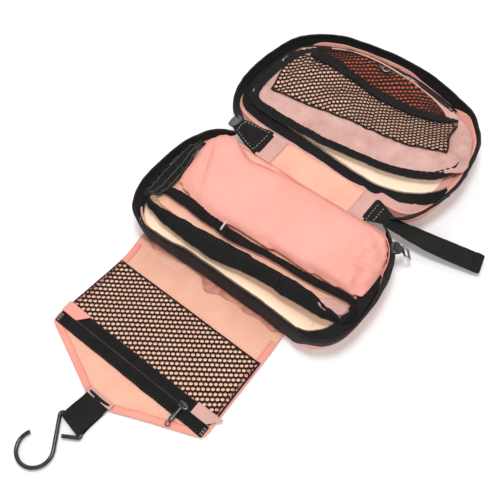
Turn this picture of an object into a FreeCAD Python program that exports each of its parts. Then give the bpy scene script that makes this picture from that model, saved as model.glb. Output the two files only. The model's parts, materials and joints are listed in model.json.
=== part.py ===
import FreeCAD, Part
import math
import os
from collections import namedtuple

# Hanging toiletry bag, laid open: hook flap, middle tray, spine strip, upper tray.
# Millimetres. Origin: centre of the middle tray's underside. +X runs along the trays' long side,
# +Y from the hook end towards the upper tray, +Z up, out of the open trays.

V = FreeCAD.Vector
Z_UP = V(0, 0, 1)

# ---- driving dimensions -------------------------------------------------------------------
TRAY_HALF_LENGTH = 116.0      # tray wall, half its long side
TRAY_HALF_DEPTH = 67.0        # tray wall, half its short side
TRAY_CORNER_OUTER = 46.0      # corner radius on the side away from the spine
TRAY_CORNER_SPINE = 40.0      # corner radius on the spine side
SPINE_WIDTH = 28.0            # strip between the trays, as wide as the closed main zip
BACK = 2.0                    # padded back panel
WALL_TOP = 18.0               # top of a tray's side wall, and height of both spine hinges
WALL = 1.6                    # side wall fabric and binding
LINING = 0.8
TAPE_TOP = 30.0               # top edge of the main zip's tape half
TAPE = 1.4
FLARE = 4.0                   # how far the zip tape leans out at its top edge
FLARE_SPINE = 3.0
COIL = 1.6                    # height and width of a zip coil half
FLAP_CENTRE = -8.0            # the hook flap sits a little left of the trays' middle
FLAP_HALF_WIDTH = 86.0
FLAP_SHELL = 1.2
FLAP_LINING = 0.6
MESH_TOP = -94.0              # along Y, from the tray towards the hook
MESH_BOTTOM = -152.0
ZIP_BOTTOM = -173.0
FLAP_TIP = -204.0
WEBBING = 25.0
WIRE_RADIUS = 1.8
HOOK_BEND = 15.5              # radius of the hook's J, to the wire's centre line
LID_HINGE = 85.0              # half the width over which the middle lid is sewn to the tray
PULLER_HINGE = 27.4           # height of the main zip puller's hinge
PULLER_LEAN = 35.0            # how far the main zip puller leans out from hanging, degrees
STRAP_LENGTH = 92.0
STRAP_WIDTH = 20.0
CLEAR = 0.2                   # gap between neighbouring cloth pieces

# ---- derived places -----------------------------------------------------------------------
SPINE_NEAR = TRAY_HALF_DEPTH                   # hinge line of the spine on the middle tray
SPINE_FAR = SPINE_NEAR + SPINE_WIDTH           # hinge line of the upper tray on the spine
UPPER_FAR = SPINE_FAR + 2 * TRAY_HALF_DEPTH
ZIP_GAP_HALF = 88.0                            # the zip tape stops this far out beside the spine
LID_Z = 20.0                                   # underside of the middle tray's lid
UPPER_LID_Z = 24.0                             # underside of the upper tray's lid

Outline = namedtuple("Outline", "x0 x1 y0 y1 front back")


def inset(o, d):
    """The same rounded rectangle, d smaller all round."""
    return Outline(o.x0 + d, o.x1 - d, o.y0 + d, o.y1 - d, max(o.front - d, 1), max(o.back - d, 1))


def wire(o, z):
    """Rounded rectangle at height z, with one corner radius in front and one at the back."""
    corners = ((o.x0, o.y0, 1, 1, o.front), (o.x1, o.y0, -1, 1, o.front),
               (o.x1, o.y1, -1, -1, o.back), (o.x0, o.y1, 1, -1, o.back))
    start_angle = (180, 270, 0, 90)
    points = []
    for (x, y, sx, sy, r), angle in zip(corners, start_angle):
        cx, cy = x + sx * r, y + sy * r
        arc = [V(cx + r * math.cos(math.radians(angle + step)),
                 cy + r * math.sin(math.radians(angle + step)), z) for step in (0, 45, 90)]
        points.append(arc)
    edges = []
    for k, arc in enumerate(points):
        edges.append(Part.Arc(*arc).toShape())
        edges.append(Part.makeLine(arc[2], points[(k + 1) % 4][0]))
    return Part.Wire(edges)


def slab(o, z0, z1):
    return Part.Face(wire(o, z0)).extrude(V(0, 0, z1 - z0))


def band(outer, inner, z0, z1):
    return slab(outer, z0, z1).cut(slab(inner, z0 - 1, z1 + 1))


def loft(levels):
    """Solid through rounded rectangles, given as (outline, height) pairs."""
    return Part.makeLoft([wire(o, z) for o, z in levels], True, True)


def box(x0, x1, y0, y1, z0, z1):
    return Part.makeBox(x1 - x0, y1 - y0, z1 - z0, V(x0, y0, z0))


def prism(points, z0, z1):
    """Straight-sided plate from a list of (x, y) corners."""
    corners = [V(x, y, z0) for x, y in points]
    return Part.Face(Part.makePolygon(corners + corners[:1])).extrude(V(0, 0, z1 - z0))


def group(*shapes):
    return Part.makeCompound([s for shape in shapes for s in shape.Solids])


def export(node, shape):
    for solid in shape.Solids:
        if not solid.isValid():
            raise ValueError(node + " has an invalid solid")
    shape.exportStep("parts/" + node + ".step")


def tilted(shape, pivot, axis, degrees):
    turned = shape.copy()
    turned.rotate(pivot, axis, degrees)
    return turned


# ---- the two trays ------------------------------------------------------------------------
def tray_outlines(near_spine, side):
    """Wall outline and zip-edge outline. side is -1 when the spine is at the tray's high-Y edge."""
    far = near_spine + side * 2 * TRAY_HALF_DEPTH
    y0, y1 = min(near_spine, far), max(near_spine, far)
    front, back = TRAY_CORNER_OUTER, TRAY_CORNER_SPINE
    out_front, out_back = FLARE, FLARE_SPINE
    if side > 0:
        front, back = back, front
        out_front, out_back = out_back, out_front
    wall = Outline(-TRAY_HALF_LENGTH, TRAY_HALF_LENGTH, y0, y1, front, back)
    edge = Outline(wall.x0 - FLARE, wall.x1 + FLARE, y0 - out_front, y1 + out_back,
                   front + out_front, back + out_back)
    return wall, edge


def tray(name, wall, edge):
    """Back, wall, lining and the main zip's half: the zip runs round all but the spine side."""
    export(name + "_back", slab(wall, 0, BACK))
    export(name + "_wall", band(wall, inset(wall, WALL), BACK, WALL_TOP))
    lining_out = inset(wall, WALL + 0.1)
    lining = slab(lining_out, BACK, WALL_TOP - 1.5)
    lining = lining.cut(slab(inset(lining_out, LINING), BACK + LINING, WALL_TOP))
    export(name + "_lining", lining)
    middle = (SPINE_NEAR + SPINE_FAR) / 2
    spine_side = box(-ZIP_GAP_HALF, ZIP_GAP_HALF, middle - 50, middle + 50, WALL_TOP - 1, TAPE_TOP + 9)
    tape = loft([(wall, WALL_TOP), (edge, TAPE_TOP)])
    tape = tape.cut(loft([(inset(wall, TAPE), WALL_TOP), (inset(edge, TAPE), TAPE_TOP)]))
    export(name + "_zip_tape", tape.cut(spine_side))
    coil = band(edge, inset(edge, COIL), TAPE_TOP, TAPE_TOP + COIL)
    export(name + "_zip_coil", coil.cut(spine_side))


def slider_body(x, y, z, length, width, height):
    """Zip slider along X: a body with a bridge on top that the puller hangs from."""
    body = box(x - length / 2, x + length / 2, y - width / 2, y + width / 2, z, z + height)
    bridge = box(x - length / 4, x + length / 4, y - 0.8, y + 0.8, z + height, z + height + 1.2)
    return body.fuse(bridge).removeSplitter()


def ring(x, y, z, outer, wire_radius):
    return Part.makeTorus(outer - wire_radius, wire_radius, V(x, y, z), Z_UP)


def middle_tray():
    wall, edge = tray_outlines(SPINE_NEAR, -1)
    tray("mid", wall, edge)
    ledge_top = WALL_TOP
    inner_tape = band(inset(wall, WALL + 0.1), inset(wall, 8.0), ledge_top - 1.2, ledge_top)
    export("mid_inner_tape", inner_tape.cut(box(-120, 120, 24, 80, 0, 40)))
    middle_lid(wall)
    x = wall.x0 + 4.3
    slider = slider_body(x, 23, ledge_top + 0.1, 4.6, 10, 3.4)
    export("mid_slider", slider)
    puller = box(x - 1.8, x + 1.8, 4, 21, ledge_top + 4.9, ledge_top + 5.9)
    export("mid_puller", puller)


def middle_lid(wall):
    """Zipped inner lid with the padded slip pocket; it hinges along the spine side."""
    hinge_y = wall.y1 - 2.0
    panel = Outline(-101, 101, -27, hinge_y - 0.4, 34, 6)
    tape = Outline(-109, 109, -46, hinge_y - 0.4, 44, 6)
    ears = group(*[box(min(s * LID_HINGE, s * 120), max(s * LID_HINGE, s * 120), 50, 90, 0, 60)
                   for s in (-1, 1)])
    export("mid_lid_panel", slab(panel, LID_Z, LID_Z + 1.4).cut(ears))
    lid_tape = band(tape, Outline(-101 - CLEAR, 101 + CLEAR, -27 - CLEAR, 90, 34, 6), LID_Z, LID_Z + 1.4)
    export("mid_lid_tape", lid_tape.cut(box(-120, 120, 40, 90, 0, 40)))
    foot = Outline(-97, 99, -14, hinge_y - 1.0, 20, 20)
    floor = LID_Z + 1.4 + CLEAR
    levels = [(foot, floor), (inset(foot, 1.0), floor + 4), (inset(foot, 5.0), floor + 9),
              (inset(foot, 16.0), floor + 12.4)]
    export("mid_slip_pocket", loft(levels).cut(ears))
    export("mid_pocket_elastic", box(-96, 98, -24, -14.2, floor, floor + 3))
    export("mid_bartack", box(-28, -26.4, -24, -14.2, floor + 3.05, floor + 3.55))


def main_slider():
    """Parked slider of the main zip on the middle tray's right spine-side corner, puller leaning out."""
    radius = TRAY_CORNER_SPINE + FLARE_SPINE
    centre_x = TRAY_HALF_LENGTH + FLARE - radius
    centre_y = TRAY_HALF_DEPTH + FLARE_SPINE - radius
    outer = Part.makeCylinder(radius + 3.6, 7, V(centre_x, centre_y, 24), Z_UP, 13)
    inner = Part.makeCylinder(radius + 0.4, 9, V(centre_x, centre_y, 23), Z_UP, 360)
    body = outer.cut(inner)
    pivot = V(centre_x, centre_y, 0)
    park = 45.0
    export("main_slider", tilted(body, pivot, Z_UP, park - 6.5))
    x = centre_x + radius + 5.2
    hinge = V(x, centre_y, PULLER_HINGE)
    leaf = box(x - 0.6, x + 0.6, centre_y - 4.5, centre_y + 4.5, 20, 28)
    frame = box(x - 0.8, x + 0.8, centre_y - 5.5, centre_y + 5.5, 8, 19.9)
    frame = frame.cut(box(x - 2, x + 2, centre_y - 3.9, centre_y + 3.9, 9.6, 18.3))
    for name, hanging in (("main_puller_tape", leaf), ("main_puller_ring", frame)):
        leaning = tilted(hanging, hinge, V(0, 1, 0), -PULLER_LEAN)
        export(name, tilted(leaning, pivot, Z_UP, park))


# ---- spine, zip end tab and wrist strap ----------------------------------------------------
def spine():
    end = 60.0
    near, far = SPINE_NEAR + 0.4, SPINE_FAR - 0.4
    export("spine_panel", box(-end, end, near, far, WALL_TOP - 1.4, WALL_TOP))
    patch = [box(s * end - (17 if s > 0 else 0), s * end + (17 if s < 0 else 0), near + 1, far - 1,
                 WALL_TOP + 0.05, WALL_TOP + 0.55) for s in (-1, 1)]
    export("spine_patches", group(*patch))
    z0, z1 = WALL_TOP - 3.2, WALL_TOP - 1.6
    middle = (SPINE_NEAR + SPINE_FAR) / 2
    tab = prism([(-end + 6, near + 1), (-end + 6, far - 1), (-86, middle + 8), (-92, middle),
                 (-86, middle - 8)], z0, z1)
    export("zip_end_tab", tab)
    half = STRAP_WIDTH / 2
    root = prism([(end - 6, near + 1), (86, middle - half), (86, middle + half), (end - 6, far - 1)], z0, z1)
    export("strap_root", root)
    strap = box(2.2, STRAP_LENGTH, -half, half, -1.2, 1.2)
    tip = Part.makeCylinder(1.9, STRAP_WIDTH, V(STRAP_LENGTH, -half, 0), V(0, 1, 0))
    strap = strap.fuse(tip).removeSplitter()
    origin = V(0, 0, 0)
    strap.rotate(origin, V(0, 1, 0), 7.9)
    strap.rotate(origin, Z_UP, 11)
    strap.translate(V(86, middle, (z0 + z1) / 2 - 0.2))
    export("wrist_strap", strap)


# ---- upper tray ---------------------------------------------------------------------------
def upper_tray():
    wall, edge = tray_outlines(SPINE_FAR, 1)
    tray("upper", wall, edge)
    ledge_in = inset(wall, 9.2)
    export("upper_gusset", band(inset(wall, WALL + 0.1), ledge_in, WALL_TOP - 1.2, WALL_TOP))
    open_end = box(96, 130, 80, 240, 0, 60)
    stand = band(inset(wall, 9.3), inset(wall, 10.6), WALL_TOP - 1.2, WALL_TOP + 4)
    export("upper_inner_tape", stand.cut(open_end))
    panel = inset(wall, 13.0)
    export("upper_lid_panel", slab(panel, UPPER_LID_Z, UPPER_LID_Z + 1.2))
    lid_tape = band(inset(wall, 9.6), inset(wall, 12.8), UPPER_LID_Z - 1.4, UPPER_LID_Z + 2)
    export("upper_lid_tape", lid_tape.cut(open_end))
    face = UPPER_LID_Z + 1.2 + CLEAR
    export("upper_mesh_pocket", box(-90, 84, 138, 196, face, face + 1.2))
    export("upper_mesh_elastic", box(-86, 80, 196.2, 203, face, face + 2.4))
    export("upper_mesh_window", prism([(-72, 203.2), (70, 203.2), (58, 212), (-58, 212)], face, face + 0.8))
    x, y = -14.0, UPPER_FAR - 6.6
    export("upper_slider", slider_body(x, y, WALL_TOP + 0.1, 11, 3.6, 4.2))
    export("upper_ring_puller", ring(x, y + 2.8, WALL_TOP + 6.4, 4.2, 0.7))


# ---- hook flap ----------------------------------------------------------------------------
def flap_outline(margin):
    """Corners of the flap, margin inside its edge: square at the tray, tapered to the loop."""
    half = FLAP_HALF_WIDTH - margin
    tip = WEBBING / 2 + 1
    near = -TRAY_HALF_DEPTH - 0.4
    ends = [(-half, near), (-half, ZIP_BOTTOM), (-half + 10, ZIP_BOTTOM - 9), (-tip, FLAP_TIP + margin),
            (tip, FLAP_TIP + margin), (half - 10, ZIP_BOTTOM - 9), (half, ZIP_BOTTOM), (half, near)]
    return [(FLAP_CENTRE + x, y) for x, y in ends]


def flap():
    lining_top = FLAP_SHELL + FLAP_LINING
    export("flap_panel", prism(flap_outline(0), 0, FLAP_SHELL))
    export("flap_lining", prism(flap_outline(1.5), FLAP_SHELL, lining_top))
    z0, z1 = lining_top + 0.05, lining_top + 0.65
    hem = prism(flap_outline(0.5), z0, z1).cut(prism(flap_outline(5.0), z0 - 1, z1 + 1))
    near = -TRAY_HALF_DEPTH
    export("flap_hem", hem.cut(box(-200, 200, near - 8, near + 8, -1, 9)))
    c, half = FLAP_CENTRE, FLAP_HALF_WIDTH - 5.2
    export("flap_mesh_pocket", box(c - half, c + half, MESH_BOTTOM, MESH_TOP, z0, z0 + 1.0))
    coil_y0, coil_y1 = MESH_BOTTOM - 12.0, MESH_BOTTOM - 8.4
    tape = (("flap_zip_tape_upper", coil_y1 + 0.1, MESH_BOTTOM - 0.1),
            ("flap_zip_tape_lower", ZIP_BOTTOM + 0.6, coil_y0 - 0.1))
    for node, y0, y1 in tape:
        export(node, box(c - half, c + half, y0, y1, z0, z0 + 1.2))
    export("flap_zip_coil", box(c - half + 12, c + half - 12, coil_y0, coil_y1, z0, z0 + 1.8))
    for node, x0 in (("flap_zip_tab_left", c - half + 0.6), ("flap_zip_tab_right", c + half - 14.6)):
        export(node, box(x0, x0 + 14, ZIP_BOTTOM + 1, MESH_BOTTOM - 1, z0 + 1.9, z0 + 2.6))
    x, y, z = c + 56, (coil_y0 + coil_y1) / 2, z0 + 1.85
    export("flap_slider", slider_body(x, y, z, 8, 6, 2.2))
    leaf = box(x - 2, x + 2, y - 17, y - 1.6, z + 2.3, z + 3.3)
    export("flap_puller", leaf)
    export("flap_puller_ring", ring(x, y - 19.6, z + 2.8, 2.5, 0.5))


# ---- webbing loop and wire hook -----------------------------------------------------------
BAR_CENTRE = V(FLAP_CENTRE - 6.5, -230.5, 3.4)     # middle of the wire bar inside the webbing
BAR_SLOPE = -11.0                                  # degrees about +Z, the bar lies a little askew


def hook_loop():
    """Doubled webbing from the flap's tip, turned round the hook's bar."""
    half = WEBBING / 2
    c = FLAP_CENTRE
    flat = prism([(c - half, FLAP_TIP - 0.4), (c - half, BAR_CENTRE.y + 4), (c + half, BAR_CENTRE.y + 2),
                  (c + half, FLAP_TIP - 0.4)], 0.3, 2.9)
    width = 14.0
    direction = V(math.cos(math.radians(BAR_SLOPE)), math.sin(math.radians(BAR_SLOPE)), 0)
    start = BAR_CENTRE - direction * (width / 2)
    sleeve = Part.makeCylinder(3.2, width, start, direction)
    bore = Part.makeCylinder(2.2, 60, BAR_CENTRE - direction * 30, direction)
    clear_of_wire = tilted(box(-30, 30, -3, 3, -3, 9), V(0, 0, 0), Z_UP, BAR_SLOPE)
    clear_of_wire.translate(V(BAR_CENTRE.x, BAR_CENTRE.y, 0))
    neck = prism([(c - width / 2 - 5, BAR_CENTRE.y + 6), (BAR_CENTRE.x - width / 2 + 0.5, BAR_CENTRE.y + 1.3),
                  (BAR_CENTRE.x + width / 2, BAR_CENTRE.y - 1.0), (c + width / 2, BAR_CENTRE.y + 6)], 0.3, 2.9)
    loop = flat.cut(clear_of_wire).fuse([neck, sleeve]).cut(bore)
    export("hook_loop", loop.removeSplitter())


def wire_path(points, radii, z):
    """Straight runs joined by tangent arcs of the given radii at the inner points."""
    edges = []
    here = V(*points[0], z)
    for k in range(1, len(points) - 1):
        corner = V(*points[k], z)
        before = (V(*points[k - 1], z) - corner).normalize()
        after = (V(*points[k + 1], z) - corner).normalize()
        half_angle = before.getAngle(after) / 2
        reach = radii[k - 1] / math.tan(half_angle)
        bisector = (before + after).normalize()
        middle = corner + bisector * (radii[k - 1] / math.sin(half_angle) - radii[k - 1])
        first, last = corner + before * reach, corner + after * reach
        edges.append(Part.makeLine(here, first))
        edges.append(Part.Arc(first, middle, last).toShape())
        here = last
    edges.append(Part.makeLine(here, V(*points[-1], z)))
    return edges


def wire_hook():
    """One bent wire: the J, a stem, the bar through the webbing and the return against the stem."""
    z = BAR_CENTRE.z
    jx, jy = FLAP_CENTRE - 16.5, -265.0
    leave = 35.6
    angles = (150.0, 150.0 + (360 + leave - 150.0) / 2, 360 + leave)
    j_arc = [V(jx + HOOK_BEND * math.cos(math.radians(a)), jy + HOOK_BEND * math.sin(math.radians(a)), z)
             for a in angles]
    start = j_arc[2]
    slope = math.tan(math.radians(BAR_SLOPE))
    left = (BAR_CENTRE.x - 17.5, BAR_CENTRE.y - 17.5 * slope)
    right = (BAR_CENTRE.x + 16.5, BAR_CENTRE.y + 16.5 * slope)
    stop = (start.x - 0.30 * (start.x - left[0]) - 0.2 + 3.4, start.y + 0.42 * (left[1] - start.y) + 0.2)
    path = [Part.Arc(*j_arc).toShape()]
    path += wire_path([(start.x, start.y), left, right, stop], [2.4, 2.4], z)
    spine_wire = Part.Wire(path)
    tangent = V(-math.sin(math.radians(angles[0])), math.cos(math.radians(angles[0])), 0)
    section = Part.Wire([Part.makeCircle(WIRE_RADIUS, j_arc[0], tangent)])
    export("wire_hook", spine_wire.makePipeShell([section], True, False))


os.makedirs("parts", exist_ok=True)
middle_tray()
main_slider()
spine()
upper_tray()
flap()
hook_loop()
wire_hook()
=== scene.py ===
import json
from math import atan2, cos, exp, hypot, pi, radians, sin, sqrt

import bpy
import numpy as np
from mathutils import Matrix, Vector, noise

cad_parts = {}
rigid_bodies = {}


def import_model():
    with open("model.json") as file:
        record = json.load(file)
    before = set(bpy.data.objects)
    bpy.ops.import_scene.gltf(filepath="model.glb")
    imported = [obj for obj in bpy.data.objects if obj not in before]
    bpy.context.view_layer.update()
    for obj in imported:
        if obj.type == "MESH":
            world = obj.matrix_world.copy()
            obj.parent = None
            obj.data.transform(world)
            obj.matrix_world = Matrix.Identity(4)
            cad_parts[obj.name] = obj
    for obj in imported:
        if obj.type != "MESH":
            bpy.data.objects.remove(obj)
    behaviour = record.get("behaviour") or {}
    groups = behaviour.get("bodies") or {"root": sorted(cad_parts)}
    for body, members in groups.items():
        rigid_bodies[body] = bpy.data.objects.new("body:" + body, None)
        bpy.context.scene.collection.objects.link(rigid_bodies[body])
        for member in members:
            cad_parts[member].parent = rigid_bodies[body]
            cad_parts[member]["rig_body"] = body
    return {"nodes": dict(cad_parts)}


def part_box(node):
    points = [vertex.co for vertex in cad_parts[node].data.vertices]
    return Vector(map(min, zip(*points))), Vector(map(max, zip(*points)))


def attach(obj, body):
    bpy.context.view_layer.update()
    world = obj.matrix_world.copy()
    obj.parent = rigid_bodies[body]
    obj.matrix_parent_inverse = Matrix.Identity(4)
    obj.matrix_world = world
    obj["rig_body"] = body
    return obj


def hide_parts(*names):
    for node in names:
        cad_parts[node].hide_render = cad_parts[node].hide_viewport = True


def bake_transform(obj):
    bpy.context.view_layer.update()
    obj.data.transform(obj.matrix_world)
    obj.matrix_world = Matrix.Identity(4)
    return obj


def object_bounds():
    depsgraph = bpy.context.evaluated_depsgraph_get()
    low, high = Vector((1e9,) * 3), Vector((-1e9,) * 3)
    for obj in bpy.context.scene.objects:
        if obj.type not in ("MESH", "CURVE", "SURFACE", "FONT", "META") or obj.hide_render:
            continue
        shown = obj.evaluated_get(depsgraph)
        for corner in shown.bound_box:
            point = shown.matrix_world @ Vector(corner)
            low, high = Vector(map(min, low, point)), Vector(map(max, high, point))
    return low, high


# Hanging toiletry bag laid open. Shapes are worked out in millimetres, in the frame of the CAD
# model (X along the trays, Y from the hook end to the upper tray, Z up), and made in metres.

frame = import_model()
CAD_LOW, CAD_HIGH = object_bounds()
MM = 0.001


# ---- small helpers ----
def span(node):
    """Lowest and highest corner of a CAD node, in millimetres."""
    low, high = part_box(node)
    return np.array(low) / MM, np.array(high) / MM


def wobble(x, y, z, size, seed=0.0):
    """Smooth noise from -1 to 1 whose bumps are about size millimetres wide."""
    return noise.noise(Vector((x / size + seed, y / size - seed, z / size + 0.37 * seed)))


def ease(t):
    """0 to 1 with soft ends."""
    t = min(max(t, 0.0), 1.0)
    return t * t * (3 - 2 * t)


def raised(z):
    """A step straight up."""
    return np.array([0.0, 0.0, z])


def between(keys):
    """A function of x that runs straight from key to key."""
    xs, ys = zip(*keys)
    return lambda x: float(np.interp(x, xs, ys))


def on(obj, body, slot, *nodes):
    """Fixes a piece to a body and hides the CAD nodes that it stands for; slot, its finish, is not used."""
    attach(obj, body)
    if nodes:
        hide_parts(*nodes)
    return obj


def lattice(us, vs, point):
    """Rows of points, one row for each u and one point for each v."""
    return [[point(u, v) for v in vs] for u in us]


def on_ruled(low, high, s, t):
    """The point a share s along two lines of as many points, and t of the way across from low to high."""
    last = len(low) - 1
    k = min(int(s * last), last - 1)
    a, b = (line[k] + (line[k + 1] - line[k]) * (s * last - k) for line in (low, high))
    return a + (b - a) * t


def area_between(start, end, left, right, count=400):
    """Square metres between two edges."""
    return sum(right(x) - left(x) for x in np.linspace(start, end, count)) * (end - start) / count * MM * MM


def run(line):
    """How far along a line each of its points is."""
    return np.r_[0, np.cumsum(np.linalg.norm(np.diff(line, axis=0), axis=1))]


def read(line, place, at):
    """Points of a line at the given places, where place says where its own points are."""
    return np.stack([np.interp(at, place, column) for column in line.T], 1)


def unit(vectors):
    """The vectors, each made one long."""
    return vectors / np.linalg.norm(vectors, axis=1)[:, None]


def smooth_path(points, count, closed=False):
    """Count evenly spaced points on a smooth curve through the given ones."""
    p = np.array(points, float)
    q = np.vstack([p[-1:], p, p[:2]]) if closed else np.vstack([2 * p[0] - p[1], p, 2 * p[-1] - p[-2]])
    parts = []
    t = np.linspace(0, 1, 24, endpoint=False)[:, None]
    for a, b, c, d in zip(q, q[1:], q[2:], q[3:]):
        parts.append(0.5 * (2 * b + (c - a) * t + (2 * a - 5 * b + 4 * c - d) * t ** 2
                            + (3 * b - a - 3 * c + d) * t ** 3))
    line = np.vstack(parts + [p[:1] if closed else p[-1:]])
    place = run(line)
    return read(line, place, np.linspace(0, place[-1], count, endpoint=not closed))


def level_path(points, count, closed=False):
    """A smooth curve through (x, y) points, at height 0."""
    return smooth_path([(x, y, 0) for x, y in points], count, closed)


def tangents(path, closed=False):
    """Unit directions along a path."""
    return unit(np.roll(path, -1, 0) - np.roll(path, 1, 0) if closed else np.gradient(path, axis=0))


def outward(path, closed=False):
    """Level unit normals on the right-hand side of a path."""
    t = tangents(path, closed)
    return unit(np.stack([t[:, 1], -t[:, 0], np.zeros(len(t))], 1))


def profile(keys, count):
    """Count values read evenly along a smooth curve through the keys."""
    keys = np.array(keys, float)
    at = np.linspace(0, len(keys) - 1, count)
    low = np.clip(at.astype(int), 0, len(keys) - 2)
    t = at - low
    t = t * t * (3 - 2 * t)
    return keys[low] * (1 - t) + keys[low + 1] * t


# ---- meshes ----
def quads(rings, sides, start=0):
    """Faces that join each closed ring of points to the next."""
    return [(start + r * sides + k, start + r * sides + (k + 1) % sides,
             start + (r + 1) * sides + (k + 1) % sides, start + (r + 1) * sides + k)
            for r in range(rings - 1) for k in range(sides)]


def piece(name, verts, faces, material, uv=None, smooth=True):
    """A mesh object from points in millimetres; uv is one (u, v) in millimetres per face corner."""
    mesh = bpy.data.meshes.new(name)
    mesh.from_pydata((np.asarray(verts, float) * MM).tolist(), [], faces)
    layer = mesh.uv_layers.new(name="weave")
    if uv is None:
        co = np.asarray(verts, float)[:, :2]
        uv = co[[v for f in faces for v in f]]
    layer.data.foreach_set("uv", np.asarray(uv, np.float32).ravel())
    mesh.materials.append(material)
    mesh.polygons.foreach_set("use_smooth", [smooth] * len(faces))
    mesh.update()
    obj = bpy.data.objects.new(name, mesh)
    bpy.context.scene.collection.objects.link(obj)
    return obj


def settle(obj, thick=0.0, offset=-1.0, levels=0):
    """Gives a surface its thickness and rounding, applied to the mesh."""
    if thick:
        mod = obj.modifiers.new("thick", "SOLIDIFY")
        mod.thickness, mod.offset = thick * MM, offset
    if levels:
        mod = obj.modifiers.new("round", "SUBSURF")
        mod.levels = mod.render_levels = levels
    return bake(obj)


def bake(obj):
    """Applies an object's modifiers to its mesh."""
    graph = bpy.context.evaluated_depsgraph_get()
    mesh = bpy.data.meshes.new_from_object(obj.evaluated_get(graph))
    obj.modifiers.clear()
    obj.data = mesh
    return obj


def surface(name, points, material, wrap=False, thick=0.0, offset=-1.0, levels=0, fill=False):
    """A sheet through a grid of points (rows, columns, 3); wrap joins the last row to the first."""
    points = np.asarray(points, float)
    rows, cols = points.shape[:2]
    ring = np.vstack([points, points[:1]]) if wrap else points
    u = np.r_[0, np.cumsum(np.linalg.norm(np.diff(ring, axis=0), axis=2).mean(1))]
    v = np.r_[0, np.cumsum(np.linalg.norm(np.diff(points, axis=1), axis=2).mean(0))]
    faces, uv = [], []
    for i in range(rows if wrap else rows - 1):
        k = (i + 1) % rows
        for j in range(cols - 1):
            faces.append((i * cols + j, k * cols + j, k * cols + j + 1, i * cols + j + 1))
            uv += [(u[i], v[j]), (u[i + 1], v[j]), (u[i + 1], v[j + 1]), (u[i], v[j + 1])]
    if fill:
        faces.append(tuple(i * cols + cols - 1 for i in range(rows)))
        uv += [tuple(points[i, -1, :2]) for i in range(rows)]
    obj = piece(name, points.reshape(-1, 3), faces, material, uv)
    return settle(obj, thick, offset, levels)


def tube(name, path, radius, material, sides=10, closed=False, up=(0, 0, 1), squash=1.0):
    """A round or flattened bar along a path; its width lies level and its height along up."""
    path = np.asarray(path, float)
    t = tangents(path, closed)
    side = unit(np.cross(t, np.array(up, float)))
    top = np.cross(side, t)
    radius = np.broadcast_to(radius, len(path))[:, None]
    turns = [2 * pi * k / sides for k in range(sides)]
    verts = np.stack([path + side * cos(a) * radius + top * sin(a) * radius * squash
                      for a in turns], 1)
    rows, n = verts.shape[:2]
    faces, uv = [], []
    length = run(path)
    length = np.r_[length, length[-1] + length[1]]
    girth = 2 * pi * float(radius.max()) / sides
    for i in range(rows if closed else rows - 1):
        k = (i + 1) % rows
        for j in range(n):
            m = (j + 1) % n
            faces.append((i * n + j, i * n + m, k * n + m, k * n + j))
            uv += [(length[i], j * girth), (length[i], (j + 1) * girth),
                   (length[i + 1], (j + 1) * girth), (length[i + 1], j * girth)]
    if not closed:
        for row, order in ((0, 1), (rows - 1, -1)):
            faces.append(tuple([row * n + j for j in range(n)][::-order]))
            uv += [(j * girth, 0) for j in range(n)]
    return piece(name, verts.reshape(-1, 3), faces, material, uv)


def joined(name, objects):
    """One object made of several that share a material."""
    with bpy.context.temp_override(active_object=objects[0], selected_editable_objects=objects,
                                   object=objects[0], selected_objects=objects):
        bpy.ops.object.join()
    objects[0].name = name
    return objects[0]


def coil(name, line, across, material, pitch=1.5, width=1.0, height=0.75, wire=0.36):
    """A nylon zip coil: a flattened helix along a line, lying across it."""
    steps, sides = 8, 5
    count = int(np.linalg.norm(np.diff(line, axis=0), axis=1).sum() / pitch) * steps
    at, index = np.linspace(0, len(line) - 1, count), np.arange(len(line))
    mid, side = read(line, index, at), read(across, index, at)
    phase = np.arange(count) * 2 * pi / steps
    path = mid + side * (width * np.cos(phase))[:, None] + raised(height) * np.sin(phase)[:, None]
    t = tangents(path)
    a = unit(np.cross(t, tangents(mid)))
    b = np.cross(a, t)
    rings = [path + wire * (a * cos(2 * pi * k / sides) + b * sin(2 * pi * k / sides))
             for k in range(sides)]
    verts = np.stack(rings, 1).reshape(-1, 3)
    return piece(name, verts, quads(count, sides), material)


def stitches(name, line, material, length=2.3, gap=1.3, radius=0.28, lift=0.12):
    """A row of thread stitches along a line."""
    place = run(line)
    verts, faces = [], []
    start = gap / 2
    while start + length < place[-1]:
        spine = read(line, place, start + length * np.array([0, 0.12, 0.5, 0.88, 1]))
        t = spine[-1] - spine[0]
        t /= np.linalg.norm(t)
        side = np.cross(t, (0, 0, 1))
        side /= max(np.linalg.norm(side), 1e-6)
        top = np.cross(side, t)
        base = len(verts)
        for q, r, h in zip(spine, (0.35, 0.9, 1, 0.9, 0.35), (-0.6, 0.2, 0.6, 0.2, -0.6)):
            for k in range(6):
                a = pi * k / 3
                verts.append(q + top * (lift + h * radius)
                             + radius * r * (side * cos(a) + top * sin(a)))
        faces += quads(5, 6, base)
        faces += [tuple(base + k for k in range(5, -1, -1)), tuple(base + 24 + k for k in range(6))]
        start += length + gap
    return piece(name, verts, faces, material)


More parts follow.
